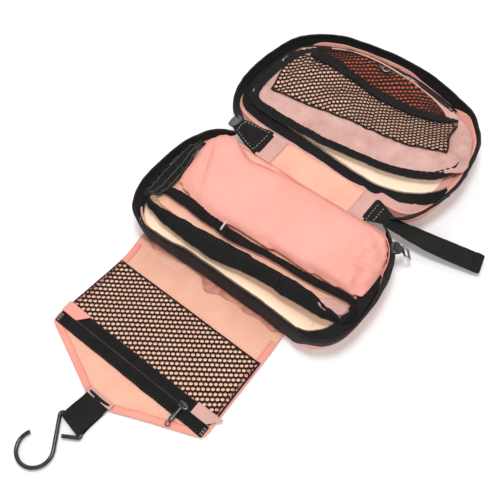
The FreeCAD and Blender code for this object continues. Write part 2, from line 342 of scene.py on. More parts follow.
def net(name, place, width, height):
    """Knitted netting: oval holes, long along rise, on the lattice of step and rise; place(u, v) puts flat
    millimetres in space."""
    step, rise, hole = np.array([4.13, -2.18]), np.array([3.37, 2.45]), (1.85, 1.45)
    skew = np.array([step, (rise - step / 2) / sin(pi / 3)]).T
    along = atan2(rise[1], rise[0])
    outer, inner = [], []
    for k in range(12):
        angle = pi / 6 * (k + 1)
        ray = skew @ (cos(angle), sin(angle))
        outer.append(ray * (1 / sqrt(3) if k % 2 == 0 else 0.5))
        around = atan2(ray[1], ray[0]) - along
        near = hole[0] * hole[1] / hypot(hole[1] * cos(around), hole[0] * sin(around))
        inner.append(ray / np.linalg.norm(ray) * near)
    verts, index, faces = [], {}, []

    def point(u, v, lift):
        u, v = min(max(u, 0.0), width), min(max(v, 0.0), height)
        key = (round(u, 2), round(v, 2), lift)
        if key not in index:
            index[key] = len(verts)
            verts.append(np.array(place(u, v), float) + raised(lift))
        return index[key]

    reach = int((width + height) / 4) + 2
    for a in range(-reach, reach):
        for b in range(-reach, reach):
            centre = step * a + rise * b
            if not (-2.5 < centre[0] < width + 2.5 and -2.5 < centre[1] < height + 2.5):
                continue
            for k in range(12):
                m = (k + 1) % 12
                ids = [point(*(centre + outer[k]), 0.25), point(*(centre + outer[m]), 0.25),
                       point(*(centre + inner[m]), 0.0), point(*(centre + inner[k]), 0.0)]
                if len(set(ids)) == 4:
                    faces.append(tuple(ids))
    return settle(piece(name, verts, faces, NET), 0.5, 0.0)


def lofted(name, rings, material):
    """A closed form through rings of points, bottom to top, capped at both ends."""
    n = len(rings[0])
    faces = quads(len(rings), n)
    faces.append(tuple(range(n - 1, -1, -1)))
    faces.append(tuple((len(rings) - 1) * n + i for i in range(n)))
    return piece(name, [p for ring in rings for p in ring], faces, material)


def pad(name, outline, low, high, material, edge=0.5, count=64):
    """A plate with rounded edges from a level outline."""
    path = level_path(outline, count, True)
    n = outward(path, True)
    rings = [path + n * d + raised(z) for d, z in (
        (-edge, low), (-edge * 0.3, low + edge * 0.3), (0, low + edge), (0, high - edge),
        (-edge * 0.3, high - edge * 0.3), (-edge, high))]
    centre = path.mean(0)
    rings += [centre + (path + n * -edge - centre) * k + raised(high) for k in (0.6, 0.2)]
    return lofted(name, rings, material)


def turned(outline, centre, degrees):
    """An outline turned about its origin and put on centre."""
    a = radians(degrees)
    c, s = cos(a), sin(a)
    return [(centre[0] + x * c - y * s, centre[1] + x * s + y * c) for x, y in outline]


def cloth_patch(name, material, x0, x1, left, right, height, rows=40, cols=24, thick=0.8, levels=1):
    """A sheet between two edges: left(x) and right(x) give its y limits and height(x, y) its z."""
    grid = [[(x, y, height(x, y)) for y in np.linspace(left(x), right(x), cols)]
            for x in np.linspace(x0, x1, rows)]
    return surface(name, grid, material, thick=thick, levels=levels)


# ---- materials ----
class Graph:
    """A node material, written as expressions."""

    def __init__(self, name):
        self.material = bpy.data.materials.new(name)
        self.material.use_nodes = True
        self.tree = self.material.node_tree
        self.tree.nodes.clear()
        self.bsdf = self.tree.nodes.new("ShaderNodeBsdfPrincipled")
        out = self.tree.nodes.new("ShaderNodeOutputMaterial")
        self.tree.links.new(self.bsdf.outputs[0], out.inputs[0])

    def put(self, socket, value):
        if isinstance(value, bpy.types.NodeSocket):
            self.tree.links.new(value, socket)
        else:
            socket.default_value = value

    def node(self, kind, inputs=None, out=0, **settings):
        n = self.tree.nodes.new(kind)
        for key, value in settings.items():
            setattr(n, key, value)
        for key, value in (inputs or {}).items():
            self.put(n.inputs[key], value)
        return n.outputs[out]

    def math(self, operation, a, b=0.0):
        return self.node("ShaderNodeMath", {0: a, 1: b}, operation=operation)

    def mix(self, share, a, b):
        n = self.tree.nodes.new("ShaderNodeMix")
        n.data_type = "RGBA"
        self.put(n.inputs[0], share)
        self.put(n.inputs[6], a)
        self.put(n.inputs[7], b)
        return n.outputs[2]

    def noise(self, size, detail=2.0, rough=0.5, distortion=0.0):
        """Noise in object space with bumps about size millimetres wide."""
        place = self.node("ShaderNodeTexCoord", out=3)
        return self.node("ShaderNodeTexNoise", {"Vector": place, "Scale": 1 / (size * MM), "Detail": detail,
                                                "Roughness": rough, "Distortion": distortion})

    def ramp(self, value, low, high):
        return self.node("ShaderNodeMapRange", {"Value": value, "From Min": low, "From Max": high})

    def weave(self, pitch):
        """Threads over and under each other, in the sheet's own millimetres."""
        uv = self.node("ShaderNodeUVMap", uv_map="weave")
        split = self.tree.nodes.new("ShaderNodeSeparateXYZ")
        self.tree.links.new(uv, split.inputs[0])
        turn = 2 * pi / pitch
        a = self.math("SINE", self.math("MULTIPLY", split.outputs[0], turn))
        b = self.math("SINE", self.math("MULTIPLY", split.outputs[1], turn))
        return self.math("MULTIPLY", a, b), split.outputs[0], split.outputs[1]

    def lines(self, value, pitch, share):
        """1 on a thin line every pitch millimetres, else 0."""
        return self.math("LESS_THAN", self.math("FRACT", self.math("DIVIDE", value, pitch)), share)

    def bump(self, height, depth, under=None):
        inputs = {"Height": height, "Distance": depth * MM, "Strength": 1.0}
        if under is not None:
            inputs["Normal"] = under
        return self.node("ShaderNodeBump", inputs)

    def finish(self, colour, rough, normal=None, **inputs):
        self.put(self.bsdf.inputs["Base Color"], colour)
        self.put(self.bsdf.inputs["Roughness"], rough)
        if normal is not None:
            self.put(self.bsdf.inputs["Normal"], normal)
        for key, value in inputs.items():
            self.put(self.bsdf.inputs[key.replace("_", " ")], value)
        return self.material


def rgb(r, g, b):
    """A screen colour as linear light."""
    linear = [v / 255 / 12.92 if v <= 10 else ((v / 255 + 0.055) / 1.055) ** 2.4 for v in (r, g, b)]
    return (*linear, 1.0)


def scaled(colour, share):
    """A darker or lighter colour."""
    return (*[c * share for c in colour[:3]], 1.0)


def fabric(name, colour, shade, pitch=0.8, depth=0.05, rough=0.7, sheen=0.1, blotch=26.0, crease=0.25,
           grid=0.0, painted_light_glow=0.0):
    """Woven cloth: soft patches of a second colour, creases, threads and, if grid, ripstop lines;
    painted_light_glow makes the cloth glow, which is painted light.
    """
    g = Graph(name)
    weave, u, v = g.weave(pitch)
    patch = g.ramp(g.noise(blotch, 3.0, 0.55), 0.35, 0.68)
    tone = g.mix(patch, colour, shade)
    speck = g.ramp(g.noise(1.6, 2.0, 0.6), 0.25, 0.75)
    dark = scaled(colour, 0.86)
    tone = g.mix(g.math("MULTIPLY", speck, 0.35), tone, dark)
    tone = g.mix(g.math("MULTIPLY", g.ramp(weave, -1, 1), 0.10), tone, dark)
    height = g.math("MULTIPLY", weave, 0.5)
    if grid:
        line = g.math("MAXIMUM", g.lines(u, grid, 0.14), g.lines(v, grid, 0.14))
        tone = g.mix(g.math("MULTIPLY", line, 0.30), tone, dark)
        height = g.math("ADD", height, g.math("MULTIPLY", line, 1.2))
    normal = g.bump(g.noise(9.0, 4.0, 0.6, 0.4), crease)
    normal = g.bump(height, depth, normal)
    extra = {}
    # Painted light: an emission that brightens the cloth where it lies in shade.
    if painted_light_glow:
        extra = {"Emission_Color": tone, "Emission_Strength": painted_light_glow}
    return g.finish(tone, rough, normal, Sheen_Weight=sheen, Sheen_Roughness=0.45,
                    Specular_IOR_Level=0.35, **extra)


def tape_cloth(name, colour, shade, rib=1.1, depth=0.12, rough=0.72, sheen=0.08):
    """Ribbed narrow tape: ribs run along it, fine threads across; the rib crests are painted lighter, a
    painted highlight.
    """
    g = Graph(name)
    weave, _, v = g.weave(0.8)
    ribs = g.math("SINE", g.math("MULTIPLY", v, 2 * pi / rib))
    wear = g.ramp(g.noise(14.0, 4.0, 0.6), 0.38, 0.72)
    tone = g.mix(wear, colour, shade)
    # Painted highlight: the rib crests are mixed towards a lighter colour.
    tone = g.mix(g.math("MULTIPLY", g.ramp(ribs, -1, 1), 0.4), tone, scaled(colour, 3.5))
    height = g.math("ADD", g.math("MULTIPLY", weave, 0.35), ribs)
    normal = g.bump(g.noise(6.0, 3.0, 0.6), 0.25)
    normal = g.bump(height, depth, normal)
    return g.finish(tone, rough, normal, Sheen_Weight=sheen, Sheen_Roughness=0.35, Specular_IOR_Level=0.22)


def hard(name, colour, shade, rough=0.3, metal=0.0, size=3.0, depth=0.02, coat=0.0):
    """Moulded or coated metal, with fine unevenness and rubbed patches."""
    g = Graph(name)
    wear = g.ramp(g.noise(size, 4.0, 0.6), 0.40, 0.75)
    tone = g.mix(wear, colour, shade)
    gloss = g.math("ADD", g.math("MULTIPLY", wear, 0.16), rough)
    normal = g.bump(g.noise(0.7, 3.0, 0.6), depth)
    return g.finish(tone, gloss, normal, Metallic=metal, Coat_Weight=coat, Coat_Roughness=0.15)


PINK = fabric("shell_pink", rgb(247, 180, 163), rgb(242, 160, 144), crease=0.5)
LINING = fabric("lining_peach", rgb(249, 192, 166), rgb(245, 176, 150), crease=0.45, grid=5.0)
HEM = fabric("hem_pink", rgb(247, 158, 143), rgb(244, 172, 156), crease=0.3)
PATCH = fabric("patch_grey_pink", rgb(208, 158, 150), rgb(224, 176, 164), crease=0.5)
# Dark brownish pink: painted shadow under the front rim, on the flap's gathers.
GATHER_PAINTED_SHADE = fabric("gather_painted_shade", rgb(228, 156, 134), rgb(168, 108, 94), crease=0.7, blotch=9.0)
# Cream lining, its own colour made paler and given a glow: painted light for the lining down in the trays'
# shade.
CREAM = fabric("lining_cream", rgb(255, 232, 204), rgb(252, 222, 190), pitch=0.9, crease=0.3, grid=3.4,
               painted_light_glow=0.22)
# Net backing, pale and glowing: painted light against the shade that the net strands cast on it.
UNDER_NET = fabric("net_backing", rgb(254, 208, 180), rgb(250, 198, 168), pitch=0.9, crease=0.3, painted_light_glow=0.18)
POCKET = fabric("pocket_pink", rgb(249, 173, 160), rgb(245, 164, 146), pitch=0.6, depth=0.03, crease=0.6,
                rough=0.55, sheen=0.15, blotch=40.0)
LID = fabric("lid_grey_pink", rgb(224, 178, 168), rgb(190, 144, 134), crease=1.5, blotch=20.0)
# Deep orange: the peach lining with painted shade, for the inside seen through the upper net window.
WINDOW_PAINTED_SHADE = fabric("window_peach_painted_shade", rgb(222, 112, 80), rgb(176, 74, 54), crease=0.5, blotch=18.0)
TAPE = tape_cloth("zip_tape_black", rgb(17, 16, 17), rgb(28, 25, 26), depth=0.16)
BAND = tape_cloth("elastic_black", rgb(14, 10, 10), rgb(34, 21, 19), rib=0.9, depth=0.2)
WEBBING = tape_cloth("webbing_black", rgb(22, 22, 21), rgb(34, 33, 31), rib=1.6, depth=0.2, rough=0.8)
GREY_THREAD = fabric("thread_grey", rgb(118, 114, 114), rgb(92, 88, 88), pitch=0.3, crease=0.05)
COIL = hard("zip_coil_black", rgb(26, 24, 25), rgb(66, 60, 60), rough=0.32)
NET = tape_cloth("mesh_black", rgb(30, 17, 14), rgb(56, 30, 26), rib=0.6, depth=0.08)
THREAD = fabric("thread_white", rgb(236, 232, 228), rgb(214, 208, 204), pitch=0.3, crease=0.05)
DARK_THREAD = fabric("thread_black", rgb(40, 36, 37), rgb(58, 52, 52), pitch=0.3, crease=0.05)
PINK_THREAD = fabric("thread_pink", rgb(222, 130, 116), rgb(232, 148, 134), pitch=0.3, crease=0.05)
SLIDER = hard("slider_black", rgb(22, 22, 24), rgb(72, 70, 70), rough=0.28, metal=0.3, coat=0.3)
WIRE = hard("wire_coated", rgb(24, 24, 26), rgb(50, 50, 52), rough=0.22, metal=0.35, size=9.0, coat=0.5)
SILVER = hard("wire_silver", rgb(196, 196, 200), rgb(150, 150, 154), rough=0.25, metal=0.9)


# ---- the two tray shells ----
WALL_TOP = span("mid_wall")[1][2]
NEAR_HINGE = span("mid_wall")[1][1]
FAR_HINGE = span("upper_wall")[0][1]
SPINE_MID = (NEAR_HINGE + FAR_HINGE) / 2

# Walls, anticlockwise from the left end of the spine side; the zip follows the same way round.
MID_WALL = [
    (-88, 65), (-102, 52), (-111, 30), (-113.5, 0), (-112, -26), (-104, -45), (-88, -56), (-66, -58.5),
    (-30, -57), (8, -56.5), (45, -56), (76, -57), (94, -57.5), (108, -49), (117, -33), (120, -8), (118, 16),
    (112, 37), (104, 53), (90, 65), (60, 67), (0, 67), (-60, 67)]
MID_RIM = [
    (-84, 76, 20), (-98, 64, 26), (-106, 51, 29), (-113, 30, 31), (-116.5, 0, 31), (-115, -28, 31),
    (-107, -49.5, 31), (-91, -61.5, 31), (-70, -62.5, 31), (-50, -61, 31), (-36, -58, 30),
    (-4, -57.5, 29.5), (42, -56.5, 29.5), (76, -57.5, 30), (97, -60, 31), (113, -51, 31), (122, -35, 31),
    (125, -8, 31), (123, 17, 31), (118, 38, 30), (110, 54, 28), (96, 68, 24), (86, 76, 20)]
UPPER_WALL = [
    (88, 97), (101, 106), (108, 124), (110, 152), (105, 186), (98, 203), (82, 219), (62, 228), (38, 234),
    (15, 236), (-14, 235), (-52, 228), (-74, 220), (-92, 208), (-102, 195), (-108, 180), (-112, 155),
    (-113, 132), (-110, 112), (-102, 101), (-86, 96), (-55, 95), (0, 95), (55, 95)]
UPPER_RIM = [
    (86, 85, 20), (99, 90, 26), (107, 101, 29), (115, 124, 31), (118, 154, 31), (112, 190, 31),
    (104, 207, 31), (86, 225, 31), (66, 232, 31), (42, 238, 31), (18, 241, 31), (-14, 240, 31),
    (-54, 233, 31), (-76, 225, 31), (-94, 213, 31), (-106, 199, 31), (-112, 183, 31), (-117, 156, 31),
    (-118, 133, 31), (-114, 110, 30), (-104, 92, 26), (-86, 82, 20)]


def bowl(path, keys, fold, floor):
    """Rows of points down a wall, by keys of (distance out, height), and over the bottom to its middle."""
    centre = path.mean(0)
    rows = []
    for p, n in zip(path, outward(path, True)):
        row = []
        for d, z in keys:
            across, rise = fold(p, z)
            row.append(p + n * (d + across) + raised(z + rise))
        edge = row[-1]
        for k in (0.85, 0.6, 0.3, 0.05):
            x, y, _ = centre + (edge - centre) * k
            row.append((x, y, floor(x, y, k)))
        rows.append(row)
    return rows


def shell(prefix, body, wall, seed):
    """Padded back and soft wall outside, cream lining inside, and a binding round the top."""
    path = level_path(wall, 300, True)

    def outer_fold(p, z):
        fold = wobble(p[0], p[1], z, 17, seed) * 0.9 + wobble(p[0], p[1], 3 * z, 7, seed + 5) * 0.5
        return fold * sin(pi * min(max(z / WALL_TOP, 0), 1)), 0

    def inner_fold(p, z):
        fold = wobble(p[0], p[1], z, 15, seed + 9) * (0.9 if 3 < z < 15 else 0.2)
        return fold, fold

    keys = [(0.0, WALL_TOP + 0.6), (0.4, WALL_TOP - 2), (1.1, 12), (1.5, 8), (0.9, 4.5), (-1.2, 1.9),
            (-4.5, 0.7), (-9, 0.35)]
    rows = bowl(path, keys, outer_fold,
                lambda x, y, k: 0.4 + 0.35 * (1 - k) + 0.25 * wobble(x, y, 0, 30, seed))
    hull = surface(prefix + "_shell", rows, PINK, wrap=True, fill=True)
    on(hull, body, "shell_pink", prefix + "_back", prefix + "_wall")
    keys = [(-0.9, WALL_TOP - 0.3), (-2.2, 14), (-5, 11.6), (-10, 10.4), (-15, 9.0), (-20, 5.5), (-26, 2.8)]
    rows = bowl(path, keys, inner_fold, lambda x, y, k: 2.4 + 0.7 * wobble(x, y, 0, 26, seed + 3))
    lining = surface(prefix + "_lining_cloth", rows, CREAM, wrap=True, fill=True)
    on(lining, body, "lining_cream", prefix + "_lining")
    rim = smooth_path([(x, y, WALL_TOP) for x, y in wall], 300, True)
    on(tube(prefix + "_binding", rim - outward(rim, True) * 0.4, 1.15, PINK, 8, True), body, "shell_pink")


def skirt(x, y):
    """Height of the main zip tape's sewn edge: far down at the hook end, where the tape covers the wall."""
    down = ease((-38 - y) / 14) * ease((x + 100) / 16) * ease((100 - x) / 16)
    return WALL_TOP - 0.6 - 12 * down - 4.5 * ease((x - 96) / 12) * ease((-y - 10) / 20)


def wall_stretch(wall, side):
    """The part of a wall that carries the main zip, with both ends drawn towards the spine."""
    open_part = [(x, y, skirt(x, y)) for x, y in wall[:-3]]
    first, last = open_part[0], open_part[-1]
    return [(first[0] * 0.99, SPINE_MID - side * 8, 15)] + open_part[1:-1] + [
        (last[0] * 0.99, SPINE_MID - side * 8, 15)]


def main_zip(prefix, body, wall, rim, side, seed):
    """The main zip's half: a soft woven tape leaning out from the wall, and its coil."""
    count = 260
    low = smooth_path(wall_stretch(wall, side), count)
    top = smooth_path(rim, count)
    out = outward(top)
    rows = []
    for a, b, n in zip(low, top, out):
        low_down = ease((WALL_TOP - 1 - a[2]) / 5)
        a = a + n * (2.6 + 1.3 * wobble(a[0], 0, 0, 12, seed + 6)) * low_down
        a[2] += 2.2 * low_down * wobble(a[0], 0, 0, 16, seed + 8)
        row = []
        for t in (0, 0.12, 0.3, 0.5, 0.7, 0.88, 1):
            p = a * (1 - t) + b * t
            belly = sin(pi * t) * (1.2 + 0.9 * wobble(p[0], p[1], 0, 22, seed))
            ripple = 0.5 * wobble(p[0], p[1], p[2], 8, seed + 2) * t
            row.append(p + n * (belly + ripple) + raised(0.5 * t * wobble(p[0], p[1], 0, 28, seed + 4)))
        rows.append(row)
    tape = surface(prefix + "_zip_tape_cloth", rows, TAPE, thick=1.1, offset=0.0, levels=1)
    rows = np.array(rows)
    edge = rows[:, -1]
    on(tape, body, "zip_tape_black", prefix + "_zip_tape")
    on(tube(prefix + "_zip_edge", edge + raised(0.1), 0.85, TAPE, 8), body, "zip_tape_black")
    teeth = coil(prefix + "_zip_teeth", edge - out * 0.7 + raised(0.75), out, COIL)
    on(teeth, body, "zip_coil_black", prefix + "_zip_coil")
    row_line = rows[:, 1] * 0.4 + rows[:, 2] * 0.6
    on(stitches(prefix + "_zip_stitching", row_line + out * 0.6, DARK_THREAD), body, "zip_tape_black")
    return low, top, out


shell("mid", "mid_tray", MID_WALL, 1.3)
shell("upper", "upper_tray", UPPER_WALL, 7.9)
main_zip("mid", "mid_tray", MID_WALL, MID_RIM, 1, 2.1)
low, top, out = main_zip("upper", "upper_tray", UPPER_WALL, UPPER_RIM, -1, 4.7)

# Pink facing on the inside of the upper tray's zip tape, along the side away from the spine.
rows = []
for a, b, n in zip(low, top, out):
    far_side = 0.5 * ease((a[1] - 198) / 18) * (1 - 0.5 * ease(a[0] / 30))
    share = max(far_side, 0.78 * ease((a[0] - 52) / 30) * ease((a[1] - 128) / 22))
    if share > 0.03:
        rows.append([a + (b - a) * t + n * (1.2 * sin(pi * t) - 2.0
                                            + 0.5 * wobble(a[0], a[1], 20 * t, 12, 3))
                     for t in np.linspace(0.02, share, 6)])
on(surface("upper_zip_facing", rows, PINK, thick=0.6, levels=1), "upper_tray", "shell_pink")


# ---- bands: zip tapes and ruched elastics ----
def band(name, centre, width, material, tilt=0.0, ruffle=0.0, wave=0.0, period=4.0, seed=0.0, thick=0.9,
         cols=9, count=None):
    """A strip along a centre line; width and tilt are keys along it, ruffle puckers it and wave bends its
    edges. Also gives its grid of points and its sideways directions."""
    length = np.linalg.norm(np.diff(np.array(centre, float), axis=0), axis=1).sum()
    count = count or int(length / 1.6)
    line = smooth_path(centre, count)
    out = outward(line)
    widths, tilts = (profile(keys if np.ndim(keys) else [keys, keys], count) for keys in (width, tilt))
    s = run(line)
    rows = []
    for i in range(count):
        row = []
        for k in np.linspace(-0.5, 0.5, cols):
            reach = widths[i] * k
            slack = wave * wobble(s[i], 40 * seed, 0, 14, seed)
            slack += 0.5 * wave * wobble(s[i], 9, 3 * k, 6, seed + 1)
            lift = tilts[i] * 2 * k
            pucker = ruffle * sin(2 * pi * s[i] / period + 2.2 * wobble(s[i], 9 * k, 0, 11, seed))
            pucker *= 0.45 + 0.55 * abs(2 * k)
            row.append(line[i] + out[i] * (reach + slack) + raised(lift + pucker))
        rows.append(row)
    obj = surface(name, rows, material, thick=thick, offset=0.0, levels=1)
    return obj, np.array(rows), out


def inner_zip(prefix, body, node, line, widths, edge, lift, **how):
    """Half of an inner lid's zip: its tape, and the narrow coil on one of the tape's edges."""
    tape, grid, out = band(prefix + "_zip_tape", line, widths, TAPE, **how)
    on(tape, body, "zip_tape_black", node)
    teeth = coil(prefix + "_zip_teeth", grid[:, edge] + raised(lift), out, COIL, pitch=1.7, width=0.8,
                 height=0.6, wire=0.32)
    on(teeth, body, "zip_coil_black")
    return grid


# ---- middle tray: inner lid, its zip tape, the padded slip pocket ----
LID_Z = span("mid_lid_panel")[0][2]
POCKET_Z = span("mid_slip_pocket")[0][2]

side_line = [
    (-103, 44, 24.5), (-105, 28, 24), (-104, 12, 23.8), (-102.5, -4, 23.8), (-102.5, -20, 23.8),
    (-107, -36, 23.5)]
side_tape, side_grid, _ = band("mid_side_zip_tape", side_line, [9, 14, 18, 21, 19, 7], TAPE, tilt=-1.6,
                               ruffle=1.1, period=9.0, wave=1.0, seed=4.4, thick=1.2, cols=13)
on(side_tape, "mid_lid", "zip_tape_black")
# Three thin grey cords along the crumpled side tape.
grey_cord = joined("mid_side_selvedges", [
    tube("selvedge_%d" % k, side_grid[3:-3, c] + raised(0.75), 0.26, GREY_THREAD, 6)
    for k, c in enumerate((1, 5, 10))])
on(grey_cord, "mid_lid", "zip_tape_black")

tape_line = [
    (-110.5, -33.5, 22.5), (-104, -36.5, 21.5), (-88, -39, 20.4), (-67, -39, 19.8), (-45, -38.5, 19.6),
    (-20, -36.5, 19.5), (4, -33, 19.5), (28, -29.5, 19.5), (52, -27.5, 19.6), (72, -26.5, 20),
    (92, -27, 21), (104, -27, 22), (113, -27, 23)]
tape_widths = [2, 7, 12.5, 15.5, 18, 20, 18, 15, 15, 17, 15, 10, 4]
grid = inner_zip("mid_lid", "mid_lid", "mid_lid_tape", tape_line, tape_widths, -1, 0.5, tilt=-1.8, ruffle=0.4,
                 period=8.0, wave=1.1, seed=3.1, thick=1.2, cols=13)
for k, share in enumerate((0.18, 0.3)):
    line = grid[:, 0] * (1 - share) + grid[:, -1] * share
    seam = stitches("mid_lid_tape_stitching_%d" % k, line + raised(0.6), DARK_THREAD)
    on(seam, "mid_lid", "zip_tape_black")

body_line = [
    (-97, 44, 20), (-110, 30, 21), (-111.5, 0, 21.5), (-109, -26, 21.5), (-102, -46, 18), (-88, -56, 14),
    (-60, -57.5, 13), (-20, -56, 13), (20, -55.5, 13), (60, -56, 14), (88, -55.5, 17.5), (104, -47, 20.5),
    (113, -32, 22), (115, -8, 22.5), (113, 16, 22), (109, 32, 21)]
tape_widths = [5, 6, 6, 6, 3, 2.5, 2.5, 2.5, 2.5, 2.5, 4, 9, 12, 13, 12, 8]
inner_zip("mid_body", "mid_tray", "mid_inner_tape", body_line, tape_widths, 0, 0.5, tilt=1.0, ruffle=0.3,
          period=9.0, wave=0.7, seed=8.3, thick=1.0)

front = between([(-104, -26), (-92, -32), (-60, -34), (0, -29), (60, -25), (92, -27), (110, -20)])
rear = between([(-104, 20), (-90, 50), (-70, 62), (70, 62), (92, 54), (110, 20)])
lid_cloth = cloth_patch(
    "mid_lid_cloth", LINING, -104, 110, front, rear,
    lambda x, y: LID_Z + 0.4 + 0.8 * wobble(x, y, 0, 16, 2.5) + 0.35 * wobble(x, y, 0, 6, 8.5), 90, 22, 0.9)
on(lid_cloth, "mid_lid", "lining_peach", "mid_lid_panel")
1.02 * area_between(-104, 110, front, rear, 90)


def end_patch(a, r):
    """The rounded patch at the right end of the lid: angle a, share r of its radius."""
    x = 97 + 13.5 * r * cos(a)
    y = -18.5 + 7.0 * r * sin(a) + 3.0 * r * cos(a)
    return x, y, LID_Z + 2.2 + 0.5 * (1 - r * r) + 0.3 * wobble(x, y, 0, 6, 1.5)


rows = lattice(np.linspace(0, 2 * pi, 40, endpoint=False), (1, 0.85, 0.5, 0.15), end_patch)
on(surface("mid_lid_end_patch", rows, PATCH, wrap=True, thick=0.7, fill=True), "mid_lid", "patch_grey_pink")

POCKET_LINE = [
    (-82, -9), (-94, -2), (-97, 14), (-100.5, 33), (-102.5, 47), (-97, 61.5), (-86, 67.5), (-73, 64.5),
    (-62, 58.5), (-52, 55.5), (-36, 58), (-12, 61.5), (24, 64), (68, 66), (91, 66), (103, 57.5), (110, 45),
    (113.5, 30), (114.5, 12), (108, 0.5), (78, -5), (52, -9), (26, -11), (0, -13), (-28, -15.5), (-50, -16),
    (-67, -13)]

EDGE_ROLL = 1.8  # how far the cushion's edge rolls out past its seam


def crown(name, outline, base, height, rise, material, count=200, rings=12):
    """A cushion: a crowned top over a flat base, as a closed mesh."""
    path = level_path(outline, count, True)
    path = path - outward(path, True) * EDGE_ROLL
    centre = path.mean(0)
    inset = np.clip(path[:, 0], path[:, 0].min() + rise * 2, path[:, 0].max() - rise * 2)
    spine = np.stack([inset * 0.86 + centre[0] * 0.14, np.full(count, centre[1]), np.zeros(count)], 1)
    verts = []
    for k in np.arange(rings) / (rings - 1):
        inward = 0.97 * k ** 1.6
        dome = height * (1 - (1 - inward) ** 6)
        verts += [p + (q - p) * inward + raised(base + 1.2 + dome) for p, q in zip(path, spine)]
    faces = quads(rings, count)
    faces.append(tuple((rings - 1) * count + i for i in range(count)))
    low = len(verts)
    verts += [p + raised(base) for p in path]
    for i in range(count):
        m = (i + 1) % count
        faces.append((low + i, low + m, m, i))
    faces.append(tuple(low + i for i in range(count - 1, -1, -1)))
    return piece(name, verts, faces, material)


def points_of(obj):
    """A mesh's points, in metres."""
    return np.array([v.co for v in obj.data.vertices], float)


def move_points(obj, co):
    obj.data.vertices.foreach_set("co", co.astype(np.float32).ravel())
    obj.data.update()


def swell(obj, voxel, pressure, cap, frames=20):
    """Blows a closed cloth up a little, and keeps every point within cap of where it was."""
    mod = obj.modifiers.new("remesh", "REMESH")
    mod.mode, mod.voxel_size, mod.use_smooth_shade = "VOXEL", voxel * MM, True
    bake(obj)
    rest = points_of(obj)
    mod = obj.modifiers.new("cloth", "CLOTH")
    cloth = mod.settings
    cloth.quality, cloth.mass = 6, 0.15
    cloth.use_pressure, cloth.uniform_pressure_force = True, pressure
    cloth.tension_stiffness = cloth.compression_stiffness = 18
    cloth.bending_stiffness = 0.4
    cloth.effector_weights.gravity = 0
    scene = bpy.context.scene
    scene.frame_start, scene.frame_end = 1, frames
    mod.point_cache.frame_start, mod.point_cache.frame_end = 1, frames
    for f in range(1, frames + 1):
        scene.frame_set(f)
    bake(obj)
    move = (points_of(obj) - rest) * [0.3, 0.3, 1]
    size = np.linalg.norm(move, axis=1)[:, None]
    move_points(obj, rest + move * np.minimum(1, cap * MM / np.maximum(size, 1e-9)))
    scene.frame_set(1)
    return obj


pocket = crown("mid_pocket_cushion", POCKET_LINE, POCKET_Z, 8.0, 30, POCKET)
swell(pocket, voxel=4.0, pressure=4.0, cap=3.0)
settle(pocket, levels=2)
co = points_of(pocket) / MM
for p in co:
    x, y, z = p
    front = np.interp(x, [-88, -28, 26, 78, 109], [-12, -15, -12, -6, -1])
    near = exp(-max(y - front, 0) / 9.0)
    gather = sin(x / 2.6 + 2.5 * wobble(x, y, 0, 12, 4.4)) * near
    fold = wobble(x * 0.55 + y * 0.4, y - x * 0.35, 0, 13, 6.6)
    ends = ease((abs(x - 4) - 60) / 45)
    long_fold = exp(-((x + 80 + 0.5 * (y - 20)) / 4.0) ** 2) * ease((56 - y) / 26) * ease((y + 6) / 14)
    right_end = ease((x - 66) / 30) * wobble(0.9 * x - 0.5 * y, 0.35 * x + 0.9 * y, 0, 9, 7.3)
    tilt = max(z - POCKET_Z - 1.5, 0) / 8.0
    p[2] += min(tilt, 1.0) * (0.7 * gather + 0.7 * fold * (0.5 + ends) - 3.2 * long_fold + 3.0 * right_end
                              - 1.2 + 0.35 * wobble(x, y, 0, 6, 9.9) * (0.3 + ends))
move_points(pocket, co * MM)
on(pocket, "mid_lid", "pocket_pink", "mid_slip_pocket")

seam_z = POCKET_Z + 1.6
back_seam = smooth_path([(x, y, seam_z) for x, y in POCKET_LINE[7:18]], 260)
on(tube("mid_pocket_piping", back_seam, 0.6, HEM, 8), "mid_lid", "hem_pink")
seam_line = back_seam + outward(back_seam) * 3.0
for p in seam_line:
    near = np.hypot(co[:, 0] - p[0], co[:, 1] - p[1]) < 2.0
    p[2] = co[near, 2].max() + 0.1
on(stitches("mid_pocket_stitching", seam_line, PINK_THREAD), "mid_lid", "pocket_pink")

elastic_line = [
    (-97, -19, 24), (-84, -17.5, 25), (-65, -17.5, 25.3), (-24, -19.5, 25.3), (2, -17.5, 25.3),
    (30, -14, 25.3), (56, -12, 25.3), (78, -9, 25.3), (101, -6, 25), (112, -8, 24.6), (115, -17, 24),
    (111, -27, 23.4)]
elastic, _, _ = band("mid_pocket_ruched_elastic", elastic_line,
                     [9, 11.5, 11.5, 10, 10.5, 7.5, 6.2, 7, 8, 8, 7, 5],
                     BAND, ruffle=0.6, wave=0.8, period=4.6, seed=5.7, thick=1.6)
on(elastic, "mid_lid", "elastic_black", "mid_pocket_elastic")

low, high = span("mid_bartack")
lines = []
for k in range(4):
    x = (low[0] + high[0]) / 2 + (k - 1.5) * 0.45
    line = smooth_path([(x + 0.7, -21.5, 26.2), (x, -16, 26.8), (x - 0.7, -11.5, 26.4)], 30)
    lines.append(stitches("bar_%d" % k, line, THREAD, 1.5, 0.15, 0.3))
on(joined("mid_elastic_bartack", lines), "mid_lid", "thread_white", "mid_bartack")


# ---- spine strip, its end patches, the zip end tab and the strap's root ----
SPINE_TOP = span("spine_panel")[1][2]


def spine_height(x, y):
    bow = -1.2 * cos(pi * (y - SPINE_MID) / 34)
    return (SPINE_TOP + 0.9 + bow * 0.5 + 0.5 * wobble(x, y, 0, 14, 3.3)
            + 0.7 * wobble(x, 0.22 * y, 0, 4.2, 5.1))


